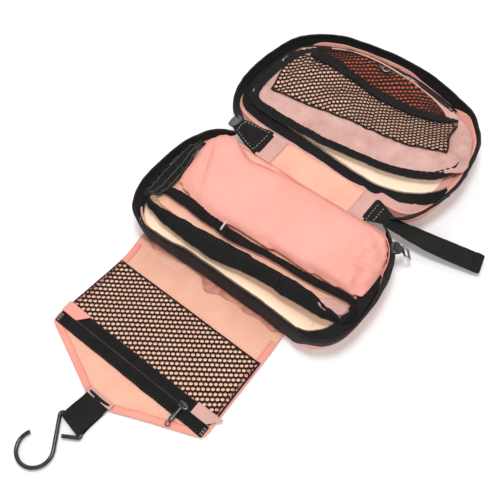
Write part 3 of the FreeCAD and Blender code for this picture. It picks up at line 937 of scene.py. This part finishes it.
left_edge, right_edge = -56, 66
strip = cloth_patch("spine_cloth", LINING, left_edge, right_edge,
                    lambda x: 66.5 + 0.9 * wobble(x, 0, 0, 17, 2.6),
                    lambda x: 96 + 0.9 * wobble(x, 9, 0, 15, 4.6), spine_height, 80, 24, 0.9)
on(strip, "spine", "lining_peach", "spine_panel")
for name, y0, y1, a, b, start, end in (("spine_cloth_near", 61.5, 71, "mid_tray", "spine", 63, 69),
                                       ("spine_cloth_far", 91, 100.5, "spine", "upper_tray", 93, 99)):
    strip = cloth_patch(name, LINING, left_edge + 2, right_edge - 2, lambda x, y=y0: y, lambda x, y=y1: y,
                        lambda x, y: spine_height(x, y) - 1.1, 70, 10, 0.8)
    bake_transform(strip)
for name, x0, x1 in (("spine_patch_left", left_edge - 1, left_edge + 18),
                     ("spine_patch_right", right_edge - 16, right_edge + 1)):
    patch = cloth_patch(name, PATCH, x0, x1, lambda x: 65.5, lambda x: 96.5,
                        lambda x, y: spine_height(x, y) + 0.75 + 0.35 * wobble(x, y, 0, 5, 8.8),
                        18, 30, 0.7)
    on(patch, "spine", "patch_grey_pink", "spine_patches")
    inner = x1 if x0 < 0 else x0
    edge = np.array([(inner, y, spine_height(inner, y) + 1.0) for y in np.linspace(66, 96, 30)])
    row = stitches(name + "_stitching", edge + [-1.2 if x0 < 0 else 1.2, 0, 0.1], PINK_THREAD)
    on(row, "spine", "patch_grey_pink")


def tab_height(x, y):
    return (SPINE_TOP + 1.6 + 3.0 * ease((-x - 58) / 26) + 0.5 * wobble(x, y, 0, 8, 6.1)
            - 0.02 * (y - SPINE_MID) ** 2 * ease((-x - 60) / 20))


tab = cloth_patch("left_zip_end_tab", TAPE, -94, left_edge + 2,
                  between([(-94, 76.5), (-84, 72.5), (-70, 68), (left_edge, 65)]),
                  between([(-94, 90), (-84, 93), (-70, 95.5), (left_edge, 97)]), tab_height, 30, 22, 1.3)
on(tab, "spine", "webbing_black", "zip_end_tab")
for k, line in enumerate(([(-88, 76.5), (-72, 71.5), (-58, 68)], [(-88, 88.5), (-72, 92), (-58, 94)],
                          [(-61, 69), (-60.5, 81), (-60, 93)], [(-86, 77), (-87, 82), (-86, 88)])):
    path = smooth_path([(x, y, tab_height(x, y) + 0.1) for x, y in line], 40)
    on(stitches("left_tab_stitching_%d" % k, path, THREAD, 2.0, 1.6, 0.2), "spine", "thread_white")
FOLD = tape_cloth("folded_end", rgb(78, 76, 80), rgb(104, 102, 106), rib=2.0, depth=0.05, rough=0.4)


def folded_end(t, k):
    reach = sqrt(max(1 - t * t, 0.0)) ** 0.7
    a = 2 * pi * k / 20
    return (-94.5 + 5.2 * reach * cos(a) - 1.2 * t * t, SPINE_MID + 2.5 + 8.0 * t,
            SPINE_TOP + 3.2 + 2.6 * reach * sin(a) + 0.3 * wobble(9 * t, k, 0, 5))


rings = lattice(np.linspace(-1, 1, 17), range(20), folded_end)
on(lofted("left_tab_folded_end", rings, FOLD), "spine", "webbing_black")


def root_height(x, y):
    return SPINE_TOP + 1.5 - 0.7 * ease((x - 66) / 18) + 0.4 * wobble(x, y, 0, 8, 2.2)


root = cloth_patch("strap_root_cloth", WEBBING, right_edge - 2, 88,
                   between([(right_edge - 2, 67.5), (74, 73), (82, 76.5), (88, 77.5)]),
                   between([(right_edge - 2, 97), (74, 95), (82, 92), (88, 90)]), root_height, 22, 22, 1.4)
on(root, "spine", "webbing_black", "strap_root")
for k, (x, y0, y1) in enumerate(((right_edge + 3, 70.5, 94), (right_edge + 9, 74, 92))):
    path = smooth_path([(x, y, root_height(x, y) + 0.1) for y in np.linspace(y0, y1, 6)], 40)
    on(stitches("strap_root_stitching_%d" % k, path, THREAD, 2.0, 1.5, 0.2), "spine", "thread_white")

strap_line = [
    (83, 83.5, 17.2), (92, 84, 16.6), (104, 85.8, 15.4), (125, 90, 12.8), (147, 95.6, 10),
    (164.5, 100.4, 7.6), (174, 103, 6.2)]
strap, grid, _ = band("wrist_strap_webbing", strap_line, [12, 14.5, 18.5, 20, 20, 20, 20], WEBBING,
                        tilt=[0, 0.3, 1.2, 0.8, 0, -0.4, -0.2], wave=0.35, seed=1.9, thick=2.3, cols=11)
fold, _, _ = band("wrist_strap_end_fold", [(167, 101.1, 8.0), (170.5, 102.1, 7.6), (175, 103.3, 6.6)],
                  [19.6, 19.8, 19.2], WEBBING, seed=2.9, thick=3.0, cols=11, count=10)
rows_of = [stitches("strap_sewn_%d" % k, grid[4:, c] * 0.85 + grid[4:, 5] * 0.15 + raised(1.1),
                    DARK_THREAD, 2.4, 1.4, 0.24) for k, c in enumerate((0, -1))]
across = smooth_path([(166.8, 91.6, 9.0), (164.3, 100.5, 9.1), (161.8, 109.4, 8.9)], 20)
rows_of.append(stitches("strap_sewn_2", across, DARK_THREAD, 2.2, 1.2, 0.24))
sewn = joined("wrist_strap_stitching", rows_of)
for obj in (strap, fold, sewn):
    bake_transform(obj)
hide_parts("wrist_strap")

# ---- upper tray: gusset, inner zip, lid, net pocket and net window ----
LID_TOP = span("upper_lid_panel")[0][2]
body_line = [
    (70, 224, 22), (42, 230.5, 22), (14, 233, 22), (-16, 232, 22), (-52, 225, 22), (-74, 216, 22),
    (-92, 204, 22), (-103, 188, 22), (-107.5, 164, 22.5), (-109, 140, 22.5), (-106, 118, 22.5),
    (-97, 107, 22), (-80, 104, 21.5), (-50, 103.5, 21), (-20, 103, 20.5), (38, 101.5, 20), (60, 103.5, 20),
    (82, 110, 20.5), (97, 119.5, 21), (108, 131, 22), (113, 140, 23)]
tape_widths = [4, 4, 4, 4, 4.5, 5, 6.5, 8, 9, 9.5, 9.5, 10, 10, 10, 9, 8.5, 8.5, 8, 8.5, 10, 8]
inner_zip("upper_body", "upper_tray", "upper_inner_tape", body_line, tape_widths, 0, 0.9, tilt=-1.6, wave=0.6,
          seed=6.6, thick=1.0)

path = level_path(UPPER_WALL, 260, True)
rows = []
for p, n in zip(path, outward(path, True)):
    row = []
    for k in (0.6, 2.2, 4.2, 6.4, 8.6):
        x, y, _ = p - n * k
        row.append((x, y, WALL_TOP - 0.2 + 0.28 * k + 0.6 * wobble(x, y, 0, 11, 4.2)))
    rows.append(row)
gusset = surface("upper_gusset_cloth", rows, PATCH, wrap=True, thick=0.7)
on(gusset, "upper_tray", "shell_pink", "upper_gusset")

# The slack lining seen between the two zip tapes where the lid has sunk away from the near wall.
near_line = level_path([(-40, 104), (-4, 103), (38, 103), (60, 105), (82, 111), (97, 120), (107, 132)], 120)
under_line = level_path([(-40, 112), (-10, 118), (26, 124), (54, 130), (80, 140), (94, 151), (101, 162)], 120)
rows = []
for p, q in zip(near_line, under_line):
    row = []
    for t in np.linspace(0, 1, 14):
        x, y, _ = p + (q - p) * t
        row.append((x, y, 18.2 - 1.6 * sin(pi * t) + 0.9 * wobble(x, y, 0, 13, 6.2)
                    + 0.35 * wobble(x, y, 0, 6, 1.2)))
    rows.append(row)
on(surface("upper_slack_lining", rows, CREAM, thick=0.6, levels=1), "upper_tray", "lining_cream")

lid_line = [
    (68, 219, 25.5), (42, 224.5, 26), (14, 228.5, 25.5), (-14, 229.5, 23.6), (-50, 222, 26), (-70, 212, 26),
    (-87, 199, 26), (-97, 184, 26), (-101, 162, 26), (-102, 140, 26), (-100, 122, 26), (-92, 113, 26),
    (-74, 111, 26), (-46, 111.5, 26), (-14, 114, 26), (26, 120.5, 26), (54, 126, 26), (80, 136, 26),
    (96, 148, 26), (104, 161, 26), (106, 171, 26.5)]
tape_widths = [4, 4, 4, 4, 4, 4.5, 6, 7.5, 8.5, 8.5, 8.5, 8.5, 8.5, 8, 7.5, 7.5, 7.5, 7.5, 8, 7.5, 5]
inner_zip("upper_lid", "upper_lid", "upper_lid_tape", lid_line, tape_widths, -1, 0.4, tilt=-1.0, ruffle=0.3,
          period=6.0, wave=0.8, seed=9.1, thick=1.0)

near_edge = between([
    (-104, 124), (-100, 116), (-74, 112.5), (-46, 113.5), (-10, 116.5), (26, 121.5), (54, 127), (80, 137),
    (96, 149), (104, 157), (110, 160), (114, 162)])
far_edge = between([
    (-104, 176), (-99, 193), (-88, 204), (-70, 213), (-50, 222), (-16, 229.5), (14, 229), (42, 225),
    (68, 220), (88, 213), (100, 203), (106, 190), (111, 178), (114, 170)])


def lid_height(x, y):
    droop = 2.6 * ease((x - 88) / 24)
    soft = 1.1 * wobble(x, y, 0, 30, 3.9) + 1.3 * wobble(x, y, 0, 12, 1.1) + 0.55 * wobble(x, y, 0, 5, 7.7)
    crumple = ease((x - 76) / 16) * (1.8 * wobble(0.5 * x + y, x - 0.4 * y, 0, 9, 2.9))
    by_ring = 6.5 * exp(-((x + 14) / 9) ** 2 - ((y - 225.5) / 7) ** 2)
    return LID_TOP + 1.4 + soft + crumple + droop - by_ring


panel = cloth_patch("upper_lid_cloth", LID, -104, 114, near_edge, far_edge, lid_height, 110, 60, 0.9)
on(panel, "upper_lid", "pocket_pink", "upper_lid_panel")
1.02 * area_between(-104, 114, near_edge, far_edge)
piping_line = smooth_path([(x, y + 3.6, z + 0.6) for x, y, z in lid_line[11:20]], 160)
on(tube("upper_lid_piping", piping_line, 0.55, PINK, 6), "upper_lid", "shell_pink")

NET_LOW = [(-91, 136), (-86, 133), (-50, 140.5), (-5, 149), (48, 157.5), (76, 169), (88, 174)]
NET_HIGH = [
    (-98, 189), (-84, 190), (-69, 195), (-53, 195.5), (-35, 193.5), (-18, 192), (-5, 190.5), (14, 191),
    (36, 193), (52, 197.5), (64, 201), (79, 208)]
NET_WIDTH, NET_DEPTH = 186, 52
net_low = level_path(NET_LOW, 200)
net_high = level_path(NET_HIGH, 200)


def pocket_net(u, v):
    s, t = u / NET_WIDTH, v / NET_DEPTH
    x, y, _ = on_ruled(net_low, net_high, min(s, 1), t)
    puff = sin(pi * min(max(t, 0), 1)) ** 0.6 * (2.0 + 1.2 * wobble(x, y, 0, 26, 5.5))
    fine, broad = wobble(s * 60, 0.5 * t, 0, 1.6, 3.2), wobble(s * 60, 3, 0, 6, 1.7)
    gather = (0.9 * fine + 1.2 * broad) * (0.3 + t * t)
    gather += 1.3 * wobble(s * 60, 5, 0, 3.2, 6.7) * (1 - t) ** 2
    side = 1.4 * sin(7 * t + 1.2) * (1 if s < 0.02 or s > 0.98 else 0)
    return x + side, y + 0.7 * gather, lid_height(x, y) + 0.9 + puff + gather


def net_backing(name, place, us, vs, drop, thick):
    """The lining close under a net."""
    rows = lattice(us, vs, lambda u, v: np.array(place(u, v)) - [0, 0, drop])
    return surface(name, rows, UNDER_NET, thick=thick)


pocket_mesh = net("upper_pocket_net", pocket_net, NET_WIDTH, NET_DEPTH)
backing = net_backing("upper_net_backing", pocket_net, np.linspace(1, NET_WIDTH - 1, 100),
                      np.linspace(0.5, NET_DEPTH - 0.5, 30), 1.3, 0.4)
on(backing, "upper_lid", "lining_cream")
on(pocket_mesh, "upper_lid", "mesh_black", "upper_mesh_pocket")
hem_points = [pocket_net(1, NET_DEPTH - k) for k in range(0, NET_DEPTH, 4)]
hem_points += [pocket_net(u, 0) for u in range(1, NET_WIDTH, 4)]
hem_points += [pocket_net(NET_WIDTH - 1, k) for k in range(0, NET_DEPTH, 4)]
hem_line = smooth_path([(x, y + 0.8 * wobble(x, y, 0, 5, 2), z + 0.2) for x, y, z in hem_points], 420)
on(tube("upper_net_hem", hem_line, 0.85, NET, 7), "upper_lid", "mesh_black")

line = [(x, y + 0.5 + (1.5 if abs(x) > 60 else 0), lid_height(x, y) + 3.0) for x, y in NET_HIGH[1:]]
elastic, _, _ = band("upper_ruched_elastic", line, [7, 12, 12, 9, 9, 10.5, 11, 10, 9, 8, 3], BAND,
                     ruffle=1.0, wave=1.5, period=5.2, seed=4.9, thick=1.7)
on(elastic, "upper_lid", "elastic_black", "upper_mesh_elastic")

WINDOW_HIGH = [(-84, 204), (-72, 210), (-59, 217), (-34, 224), (0, 225), (38, 220), (58, 213), (68, 207)]
window_low = level_path([(-82, 197), (-60, 199), (-35, 197), (-5, 194.5), (14, 195), (40, 198), (68, 203)],
                        160)
window_high = level_path(WINDOW_HIGH, 160)


def window(s, t, lift):
    x, y, _ = on_ruled(window_low, window_high, min(max(s, 0), 1), t)
    return x, y, lid_height(x, y) + lift


# Under the window net: peach lining with its shade painted in as deep orange.
rows = lattice(np.linspace(0, 1, 70), np.linspace(0, 1, 10),
               lambda s, t: window(s, t, 0.5 + 0.3 * wobble(90 * s, 20 * t, 0, 8, 6)))
glimpse = surface("upper_window_cloth", rows, WINDOW_PAINTED_SHADE, thick=0.5, levels=1)
on(glimpse, "upper_lid", "lining_peach", "upper_mesh_window")
window_net = net("upper_window_net", lambda u, v: window(u / 150, v / 26, 1.6), 150, 26)
on(window_net, "upper_lid", "mesh_black")
cord_line = smooth_path([(x, y + 2.0, lid_height(x, y) + 1.3) for x, y in WINDOW_HIGH[1:]], 160)
on(tube("upper_window_piping", cord_line, 0.75, LINING, 8), "upper_lid", "lining_peach")


# ---- hook flap ----
TIP = span("flap_panel")[0][1]
FLAP_LEFT = between([
    (-204.5, -24), (-190, -57.5), (-176, -91), (-173, -94.5), (-168, -95.5), (-155, -93.5), (-125, -90.5),
    (-93, -88), (-60, -90)])
FLAP_RIGHT = between([
    (-204.5, 0), (-190, 34), (-176, 70), (-172.5, 76.5), (-168, 78.5), (-150, 78), (-93, 76.5), (-60, 75)])


def flap_height(x, y):
    edge = min(x - FLAP_LEFT(y), FLAP_RIGHT(y) - x)
    z = 1.9 + 0.9 * wobble(x, y, 0, 38, 0.7) + 0.35 * wobble(x, y, 0, 13, 2.2)
    z += 0.9 * ease((16 - edge) / 16) * ease((-y - 75) / 20)
    swag = 0.5 + 0.5 * wobble(x, 0, 0, 19, 9.4)
    gather = exp(-((y + 65) / 5.5) ** 2) * (3.4 * swag ** 2 + 0.9 * wobble(x, 0.4 * y, 0, 6, 2.4))
    return z + 1.0 * ease((y + 72) / 6) + gather


FLAP_ROOT = -57.5
rows = []
for y in np.r_[np.linspace(FLAP_ROOT, -72, 14), np.linspace(-74, TIP, 74)]:
    a, b = FLAP_LEFT(y), FLAP_RIGHT(y)
    rows.append([(x, y, flap_height(x, y)) for x in np.linspace(a, b, 110)])
flap = surface("flap_cloth", rows, LINING, thick=1.3, offset=-1.0)
flap.data.materials.append(PINK)
for p in flap.data.polygons:
    p.material_index = 1 if p.normal.z < -0.15 else 0


def on_flap(obj, slot, *nodes):
    """Bakes a piece's placement into its mesh and hides the CAD nodes that it stands for; slot, its finish,
    is not used.
    """
    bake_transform(obj)
    if nodes:
        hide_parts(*nodes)


on_flap(flap, "lining_peach", "flap_panel", "flap_lining")
area_between(TIP, FLAP_ROOT, FLAP_LEFT, FLAP_RIGHT)

# Gathers of the lining bunched under the front rim, where the flap is sewn on; their dark brownish colour is
# painted shadow from the rim above.
rows = []
for x in np.linspace(-84, 71, 150):
    swag = max(0.0, wobble(x, 0, 0, 17, 9.4) + 0.12)
    far = -61 - 11 * swag
    rows.append([(x, y, flap_height(x, y) + 0.7 + 4.5 * swag * (1 - k)
                  + 0.5 * wobble(x, y, 0, 4.5, 6.4) * (1 - k))
                 for k, y in zip(np.linspace(0, 1, 9), np.linspace(FLAP_ROOT, far, 9))])
on_flap(surface("flap_root_gathers", rows, GATHER_PAINTED_SHADE, thick=0.6, levels=1), "patch_grey_pink")


def hem_strip(name, edge, width, lift):
    """A turned hem along the flap's edge, with its row of stitches."""
    line = level_path(edge, 150)
    rows = []
    for p, q in zip(line, outward(line)):
        row = []
        for k in (-0.35, 0.15, 0.5, 0.85, 1.0):
            s = p - q * (width * k if k > 0 else -0.6)
            y = min(max(s[1], TIP), -64.5)
            x = min(max(s[0], FLAP_LEFT(y) - 1.2), FLAP_RIGHT(y) + 1.2)
            low = -0.9 if k < 0 else 0.0
            row.append((x, s[1], flap_height(x, s[1]) + lift + low + 0.22 * wobble(s[0], s[1], 0, 4, 3.3)))
        rows.append(row)
    on_flap(surface(name, rows, HEM, thick=0.6, levels=1), "hem_pink", "flap_hem")
    inner = np.array([r[3] for r in rows]) + raised(0.1)
    on_flap(stitches(name + "_stitching", inner, PINK_THREAD, 2.0, 1.2, 0.22), "hem_pink")


left_side = [*((FLAP_LEFT(y), y) for y in (-70, -90, -110, -130, -150, -166)), (-94.6, -171.5), (-91, -176),
             *((FLAP_LEFT(y), y) for y in (-184, -194, -203))]
right_side = [*((FLAP_RIGHT(y), y) for y in (-203, -194, -184)), (72, -175), (77, -171.5),
              *((FLAP_RIGHT(y), y) for y in (-166, -150, -130, -110, -90, -70))]
hem_strip("flap_hem_left", left_side, 6.5, 0.75)
hem_strip("flap_hem_right", right_side, 6.5, 0.75)
rows = lattice(np.linspace(TIP + 0.3, TIP + 6.5, 6), np.linspace(-26, 2, 16),
               lambda y, x: (x, y, flap_height(x, y) + 1.2 + 0.2 * wobble(x, y, 0, 4)))
on(surface("flap_tip_patch", rows, PATCH, thick=0.7, levels=1), "flap", "patch_grey_pink")

NET_TOP, NET_BOTTOM = span("flap_mesh_pocket")[1][1], span("flap_mesh_pocket")[0][1]
NET_W, NET_H = 162.0, NET_TOP - NET_BOTTOM


def flap_net(u, v):
    t = v / NET_H
    y = NET_BOTTOM - 1 + (NET_H + 1.5) * t
    a, b = FLAP_LEFT(y) + 1.2, FLAP_RIGHT(y) - 1.2
    x = a + (b - a) * u / NET_W
    puff = sin(pi * t) * sin(pi * min(max(u / NET_W, 0), 1)) ** 0.5
    sway = 0.8 * wobble(x, y, 0, 20, 1.4)
    return x + sway * puff, y + 0.7 * sway * puff, flap_height(x, y) + 1.3 + 1.7 * puff


flap_mesh = net("flap_pocket_net", flap_net, NET_W, NET_H)
backing = net_backing("flap_net_backing", flap_net, np.linspace(1, NET_W - 1, 90),
                      np.linspace(0.5, NET_H - 0.5, 30), 1.0, 0.3)
on_flap(backing, "lining_cream")
on_flap(flap_mesh, "mesh_black", "flap_mesh_pocket")
edge = [flap_net(u, NET_H) for u in np.linspace(0, NET_W, 40)]
sides = [[flap_net(s, v) for v in np.linspace(0, NET_H, 20)] for s in (0.3, NET_W - 0.3)]
bars = [tube("net_edge_%d" % k, smooth_path(line, 160), r, NET, 7)
        for k, (line, r) in enumerate(((edge, 0.75), (sides[0], 0.8), (sides[1], 0.8)))]
on_flap(joined("flap_net_edges", bars), "mesh_black")
threads = [stitches("net_thread_%d" % k, smooth_path(line, 100) + [d, 0, 0.7], THREAD, 1.6, 2.2, 0.24)
           for k, (line, d) in enumerate(((sides[0], 1.2), (sides[1], -1.2)))]
on_flap(joined("flap_net_side_stitching", threads), "thread_white")

COIL_Y = (span("flap_zip_coil")[0][1] + span("flap_zip_coil")[1][1]) / 2


def zip_lift(x, y):
    return flap_height(x, y) + 1.5 + 0.3 * wobble(x, y, 0, 9, 5.5)


for name, y0, y1, x0, x1, node in (
        ("flap_zip_tape_top", COIL_Y + 0.5, -152.3, -91.5, 76, "flap_zip_tape_upper"),
        ("flap_zip_tape_bottom", -173.4, COIL_Y - 0.5, -93.5, 77, "flap_zip_tape_lower")):
    rows = []
    for x in np.linspace(x0, x1, 150):
        row = []
        for k in np.linspace(0, 1, 9):
            y = y0 + (y1 - y0) * k
            inner = k if y1 < -160 else 1 - k
            y += 0.5 * wobble(x, 0, 0, 16, 2.8) * (1 - inner)
            row.append((x, y, zip_lift(x, y) + 0.7 * inner ** 4))
        rows.append(row)
    on_flap(surface(name, rows, TAPE, thick=0.8, levels=1), "zip_tape_black", node)
    y = y1 - 1.4 if y1 > -160 else y0 + 1.4
    line = np.array([(x, y, zip_lift(x, y) + 0.1) for x in np.linspace(x0, x1, 150)])
    on_flap(stitches(name + "_stitching", line, DARK_THREAD), "zip_tape_black")
line = np.array([(x, COIL_Y, zip_lift(x, COIL_Y) + 0.35) for x in np.linspace(-76, 60, 200)])
teeth = coil("flap_zip_teeth", line, outward(line), COIL, pitch=1.5, width=0.85, height=0.45, wire=0.3)
on_flap(teeth, "zip_coil_black", "flap_zip_coil")
white = [stitches("end_thread_%d" % k, np.array(
    [(x, y, zip_lift(x, y) + 0.3) for y in np.linspace(-172.5, -164.5, 12)]), THREAD, 1.8, 0.9, 0.24)
    for k, x in enumerate((-91.8, -90.4, 74.2, 75.8))]
on_flap(joined("flap_zip_end_stitching", white), "thread_white")
for node, x0, x1, y1 in (("flap_zip_tab_left", -94.5, -72.5, -151.8),
                         ("flap_zip_tab_right", 56, 78.3, -151.2)):
    rows = [[(x + 0.04 * (y + 157) * (x - x0), y, zip_lift(x, y) + 1.5 + 0.25 * wobble(x, y, 0, 5, 7))
             for y in np.linspace(-162.6, y1, 12)] for x in np.linspace(x0, x1, 20)]
    tab = surface(node + "_cloth", rows, PATCH if x0 > 0 else HEM, thick=0.8, levels=1)
    on_flap(tab, "patch_grey_pink", node)

# ---- webbing loop and wire hook ----
BAR = np.array([-14.5, -230.5, 3.4])
slope = radians(-11)
along = np.array([cos(slope), sin(slope), 0])
across = np.array([along[1], -along[0], 0])
WEB = 25  # the webbing's width
WRAP = 2.9  # from the middle of the hook's bar to the webbing round it


def webbing(k, y, z):
    """A point a share k across the webbing, which turns from the flap's direction to the bar's."""
    t = ease((-200 - y) / 26)
    centre = np.array([-12, y, z]) * (1 - t) + np.array([BAR[0], y + 0.4, z]) * t
    return centre + (np.array([1, 0, 0]) * (1 - t) + along * t) * WEB * k


rows = []
for k in np.linspace(-0.5, 0.5, 15):
    row = [webbing(k, y, z) + raised(0.15 * wobble(40 * k, y, 0, 5, 2)) for y, z in (
        (-199.5, 4.1), (-203, 4.0), (-207, 3.4), (-213, 3.4), (-220, 4.2), (-226, 5.2))]
    row += [BAR + along * WEB * k + across * WRAP * cos(a) + raised(WRAP * sin(a))
            for a in map(radians, np.linspace(70, -110, 9))]
    rows.append(row + [webbing(k, y, z) for y, z in ((-224, 0.9), (-215, 0.8), (-207.5, 1.1))])
loop = surface("hook_webbing", rows, WEBBING, thick=1.1, offset=0.0, levels=2)
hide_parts("hook_loop")
line = np.array([(-12 + 11 * k, -201.2, 4.9) for k in np.linspace(-1, 1, 20)])
sewn = joined("hook_webbing_stitching", [stitches("loop_sewn_%d" % k, place, DARK_THREAD, 2.0, 1.0, 0.26)
                                         for k, place in enumerate((line, line + [0, -24.5, 0.9]))])
for obj in (loop, sewn):
    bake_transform(obj)


# ---- sliders, pullers and the hook ----
def zip_slider(name, node, degrees, length, width):
    """A cast slider: two shield-shaped plates, a waist between them and a bridge on top."""
    low, high = span(node)
    centre = (low + high) / 2
    base = high[2] - 4.4
    shield = [(x * length, y * width) for x, y in (
        (-0.5, -0.28), (-0.36, -0.46), (0.0, -0.5), (0.34, -0.40), (0.5, -0.16), (0.5, 0.16), (0.34, 0.40),
        (0.0, 0.5), (-0.36, 0.46), (-0.5, 0.28))]
    waist = [(x * 0.6, y * 0.35) for x, y in shield]
    spot = centre[:2]
    parts = [pad(name + part, turned(outline, spot, degrees), base + low, base + high, SLIDER, edge, count)
             for part, outline, low, high, edge, count in (
                 ("_low", shield, 0, 1.2, 0.4, 40), ("_top", shield, 2.2, 3.5, 0.4, 40),
                 ("_waist", waist, 0.8, 2.6, 0.3, 32))]
    a = radians(degrees)
    arch = [(-0.33, 0.0), (-0.30, 1.0), (-0.12, 1.7), (0.12, 1.7), (0.30, 1.0), (0.33, 0.0)]
    line = smooth_path([(spot[0] + x * length * cos(a), spot[1] + x * length * sin(a),
                         base + 3.0 + z) for x, z in arch], 24)
    side = (-sin(a), cos(a), 0)
    parts.append(tube(name + "_bridge", line, 0.7, SLIDER, 8, up=side, squash=1.3))
    on(joined(name, parts), frame["nodes"][node]["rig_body"], "slider_black", node)


zip_slider("flap_zip_slider_body", "flap_slider", 0, 9.5, 6.4)
zip_slider("main_zip_slider_body", "main_slider", 135, 11, 9)
zip_slider("upper_zip_slider_body", "upper_slider", 0, 10.5, 6)
zip_slider("mid_zip_slider_body", "mid_slider", 90, 9.5, 5.6)


def puller_plate(name, node, bow, lift, swing, thick):
    """A flat moulded puller along its node, wider at its free end; bow and swing move it aside."""
    low, high = span(node)
    x, y, z = (low + high) / 2
    line = smooth_path([(x, high[1], z), (x + bow, y, z + lift), (x + swing, low[1], z)], 30)
    n = outward(line)
    width = profile([1.1, 1.5, 1.7, 2.0, 2.1, 1.7], 30)
    rings = [[p + q * w * cos(a) + raised(thick * sin(a))
              for a in np.linspace(0, 2 * pi, 17)[:-1]] for p, q, w in zip(line, n, width)]
    parts = [lofted(name, rings, SLIDER)]
    for k, i in enumerate((12, 15, 18, 21)):
        ends = [line[i] + n[i] * d + raised(thick * 0.95) for d in (-1.2, 1.2)]
        parts.append(tube("grip_%d" % k, np.array(ends), 0.25, SLIDER, 6))
    on(joined(name, parts), frame["nodes"][node]["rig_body"], "slider_black", node)


puller_plate("flap_zip_puller_plate", "flap_puller", -0.3, 0.2, -0.5, 0.75)
puller_plate("mid_zip_puller_plate", "mid_puller", 0.3, 0.4, 0.6, 0.7)

PULLER_LEAN, PULLER_TURN = radians(35), radians(45)
away = np.array([cos(PULLER_TURN), sin(PULLER_TURN), 0])
level = np.array([-away[1], away[0], 0])
hang = away * sin(PULLER_LEAN) - raised(cos(PULLER_LEAN))
low, high = span("main_puller_tape")
mid = (low + high) / 2
rows = [[mid + hang * t + level * 3.4 * k * (1 - 0.02 * t) + raised(0.15 * wobble(9 * k, 2 * t, 0, 4))
         for k in np.linspace(-1, 1, 7)] for t in np.linspace(-4.4, 4.6, 14)]
ribbon = surface("main_zip_puller_ribbon", rows, WEBBING, thick=1.6, offset=0.0, levels=1)
on(ribbon, "main_zip_puller", "webbing_black", "main_puller_tape")

# CAD nodes that keep their shape and get a better material.
for node, material, slot in (
        ("wire_hook", WIRE, "slider_black"), ("main_puller_ring", SILVER, "wire_silver"),
        ("upper_ring_puller", SILVER, "wire_silver"), ("flap_puller_ring", WIRE, "slider_black")):
    obj = frame["nodes"][node]
    obj.data.materials.clear()
    obj.data.materials.append(material)
    obj.data.polygons.foreach_set("use_smooth", [True] * len(obj.data.polygons))
    mod = obj.modifiers.new("sharp", "EDGE_SPLIT")
    mod.split_angle = radians(40)

# ---- floor, light and camera ----
g = Graph("floor")
tone = g.mix(g.ramp(g.noise(160.0), 0.3, 0.7), (0.93, 0.93, 0.93, 1), (0.91, 0.91, 0.91, 1))
FLOOR = g.finish(tone, 0.9, g.bump(g.noise(3.0), 0.02), Emission_Color=tone, Emission_Strength=0.12)
SIDE = 4000  # half of the floor's width
floor_z = CAD_LOW.z / MM - 0.3
corners = [(x * SIDE, y * SIDE, floor_z) for x, y in ((-1, -1), (1, -1), (1, 1), (-1, 1))]
piece("floor", corners, [(0, 1, 2, 3)], FLOOR)

bpy.context.scene.view_settings.view_transform = "Standard"
world = bpy.data.worlds.new("studio")
bpy.context.scene.world = world
world.use_nodes = True
sky = world.node_tree.nodes["Background"].inputs
sky["Color"].default_value, sky["Strength"].default_value = (1.0, 1.0, 1.0, 1), 0.52


def light(name, spot, target, size, power):
    """A round soft box at spot, aimed at target."""
    lamp = bpy.data.lights.new(name, "AREA")
    lamp.shape, lamp.size, lamp.energy = "DISK", size, power
    obj = bpy.data.objects.new(name, lamp)
    obj.location = spot
    obj.rotation_mode = "QUATERNION"
    obj.rotation_quaternion = (Vector(target) - Vector(spot)).to_track_quat("-Z", "Y")
    bpy.context.scene.collection.objects.link(obj)


light("key", (0.02, -0.02, 1.25), (0, 0.0, 0), 0.35, 8)
light("back", (-0.6, 0.6, 1.0), (0, 0.05, 0), 0.8, 2.5)
light("front", (0.5, -0.9, 0.9), (0, 0, 0), 0.9, 1.5)

azimuth, elevation, roll = (radians(a) for a in (41.32, 62.16, -2.98))
back = Vector((sin(azimuth) * cos(elevation), -cos(azimuth) * cos(elevation),
               sin(elevation)))
right = Vector((cos(azimuth), sin(azimuth), 0))
up = back.cross(right)
cam_x = right * cos(roll) + up * sin(roll)
cam_y = back.cross(cam_x)
data = bpy.data.cameras.new("camera")
data.sensor_width, data.lens = 36, 57.6
data.clip_start, data.clip_end = 0.01, 20
camera = bpy.data.objects.new("camera", data)
bpy.context.scene.collection.objects.link(camera)
camera.rotation_mode = "QUATERNION"
basis = np.array([cam_x, cam_y, back]).T
camera.rotation_quaternion = Matrix(basis.tolist()).to_quaternion()
camera.location = (0.22699, -0.27108, 0.65589)
bpy.context.scene.camera = camera

bpy.context.view_layer.update()
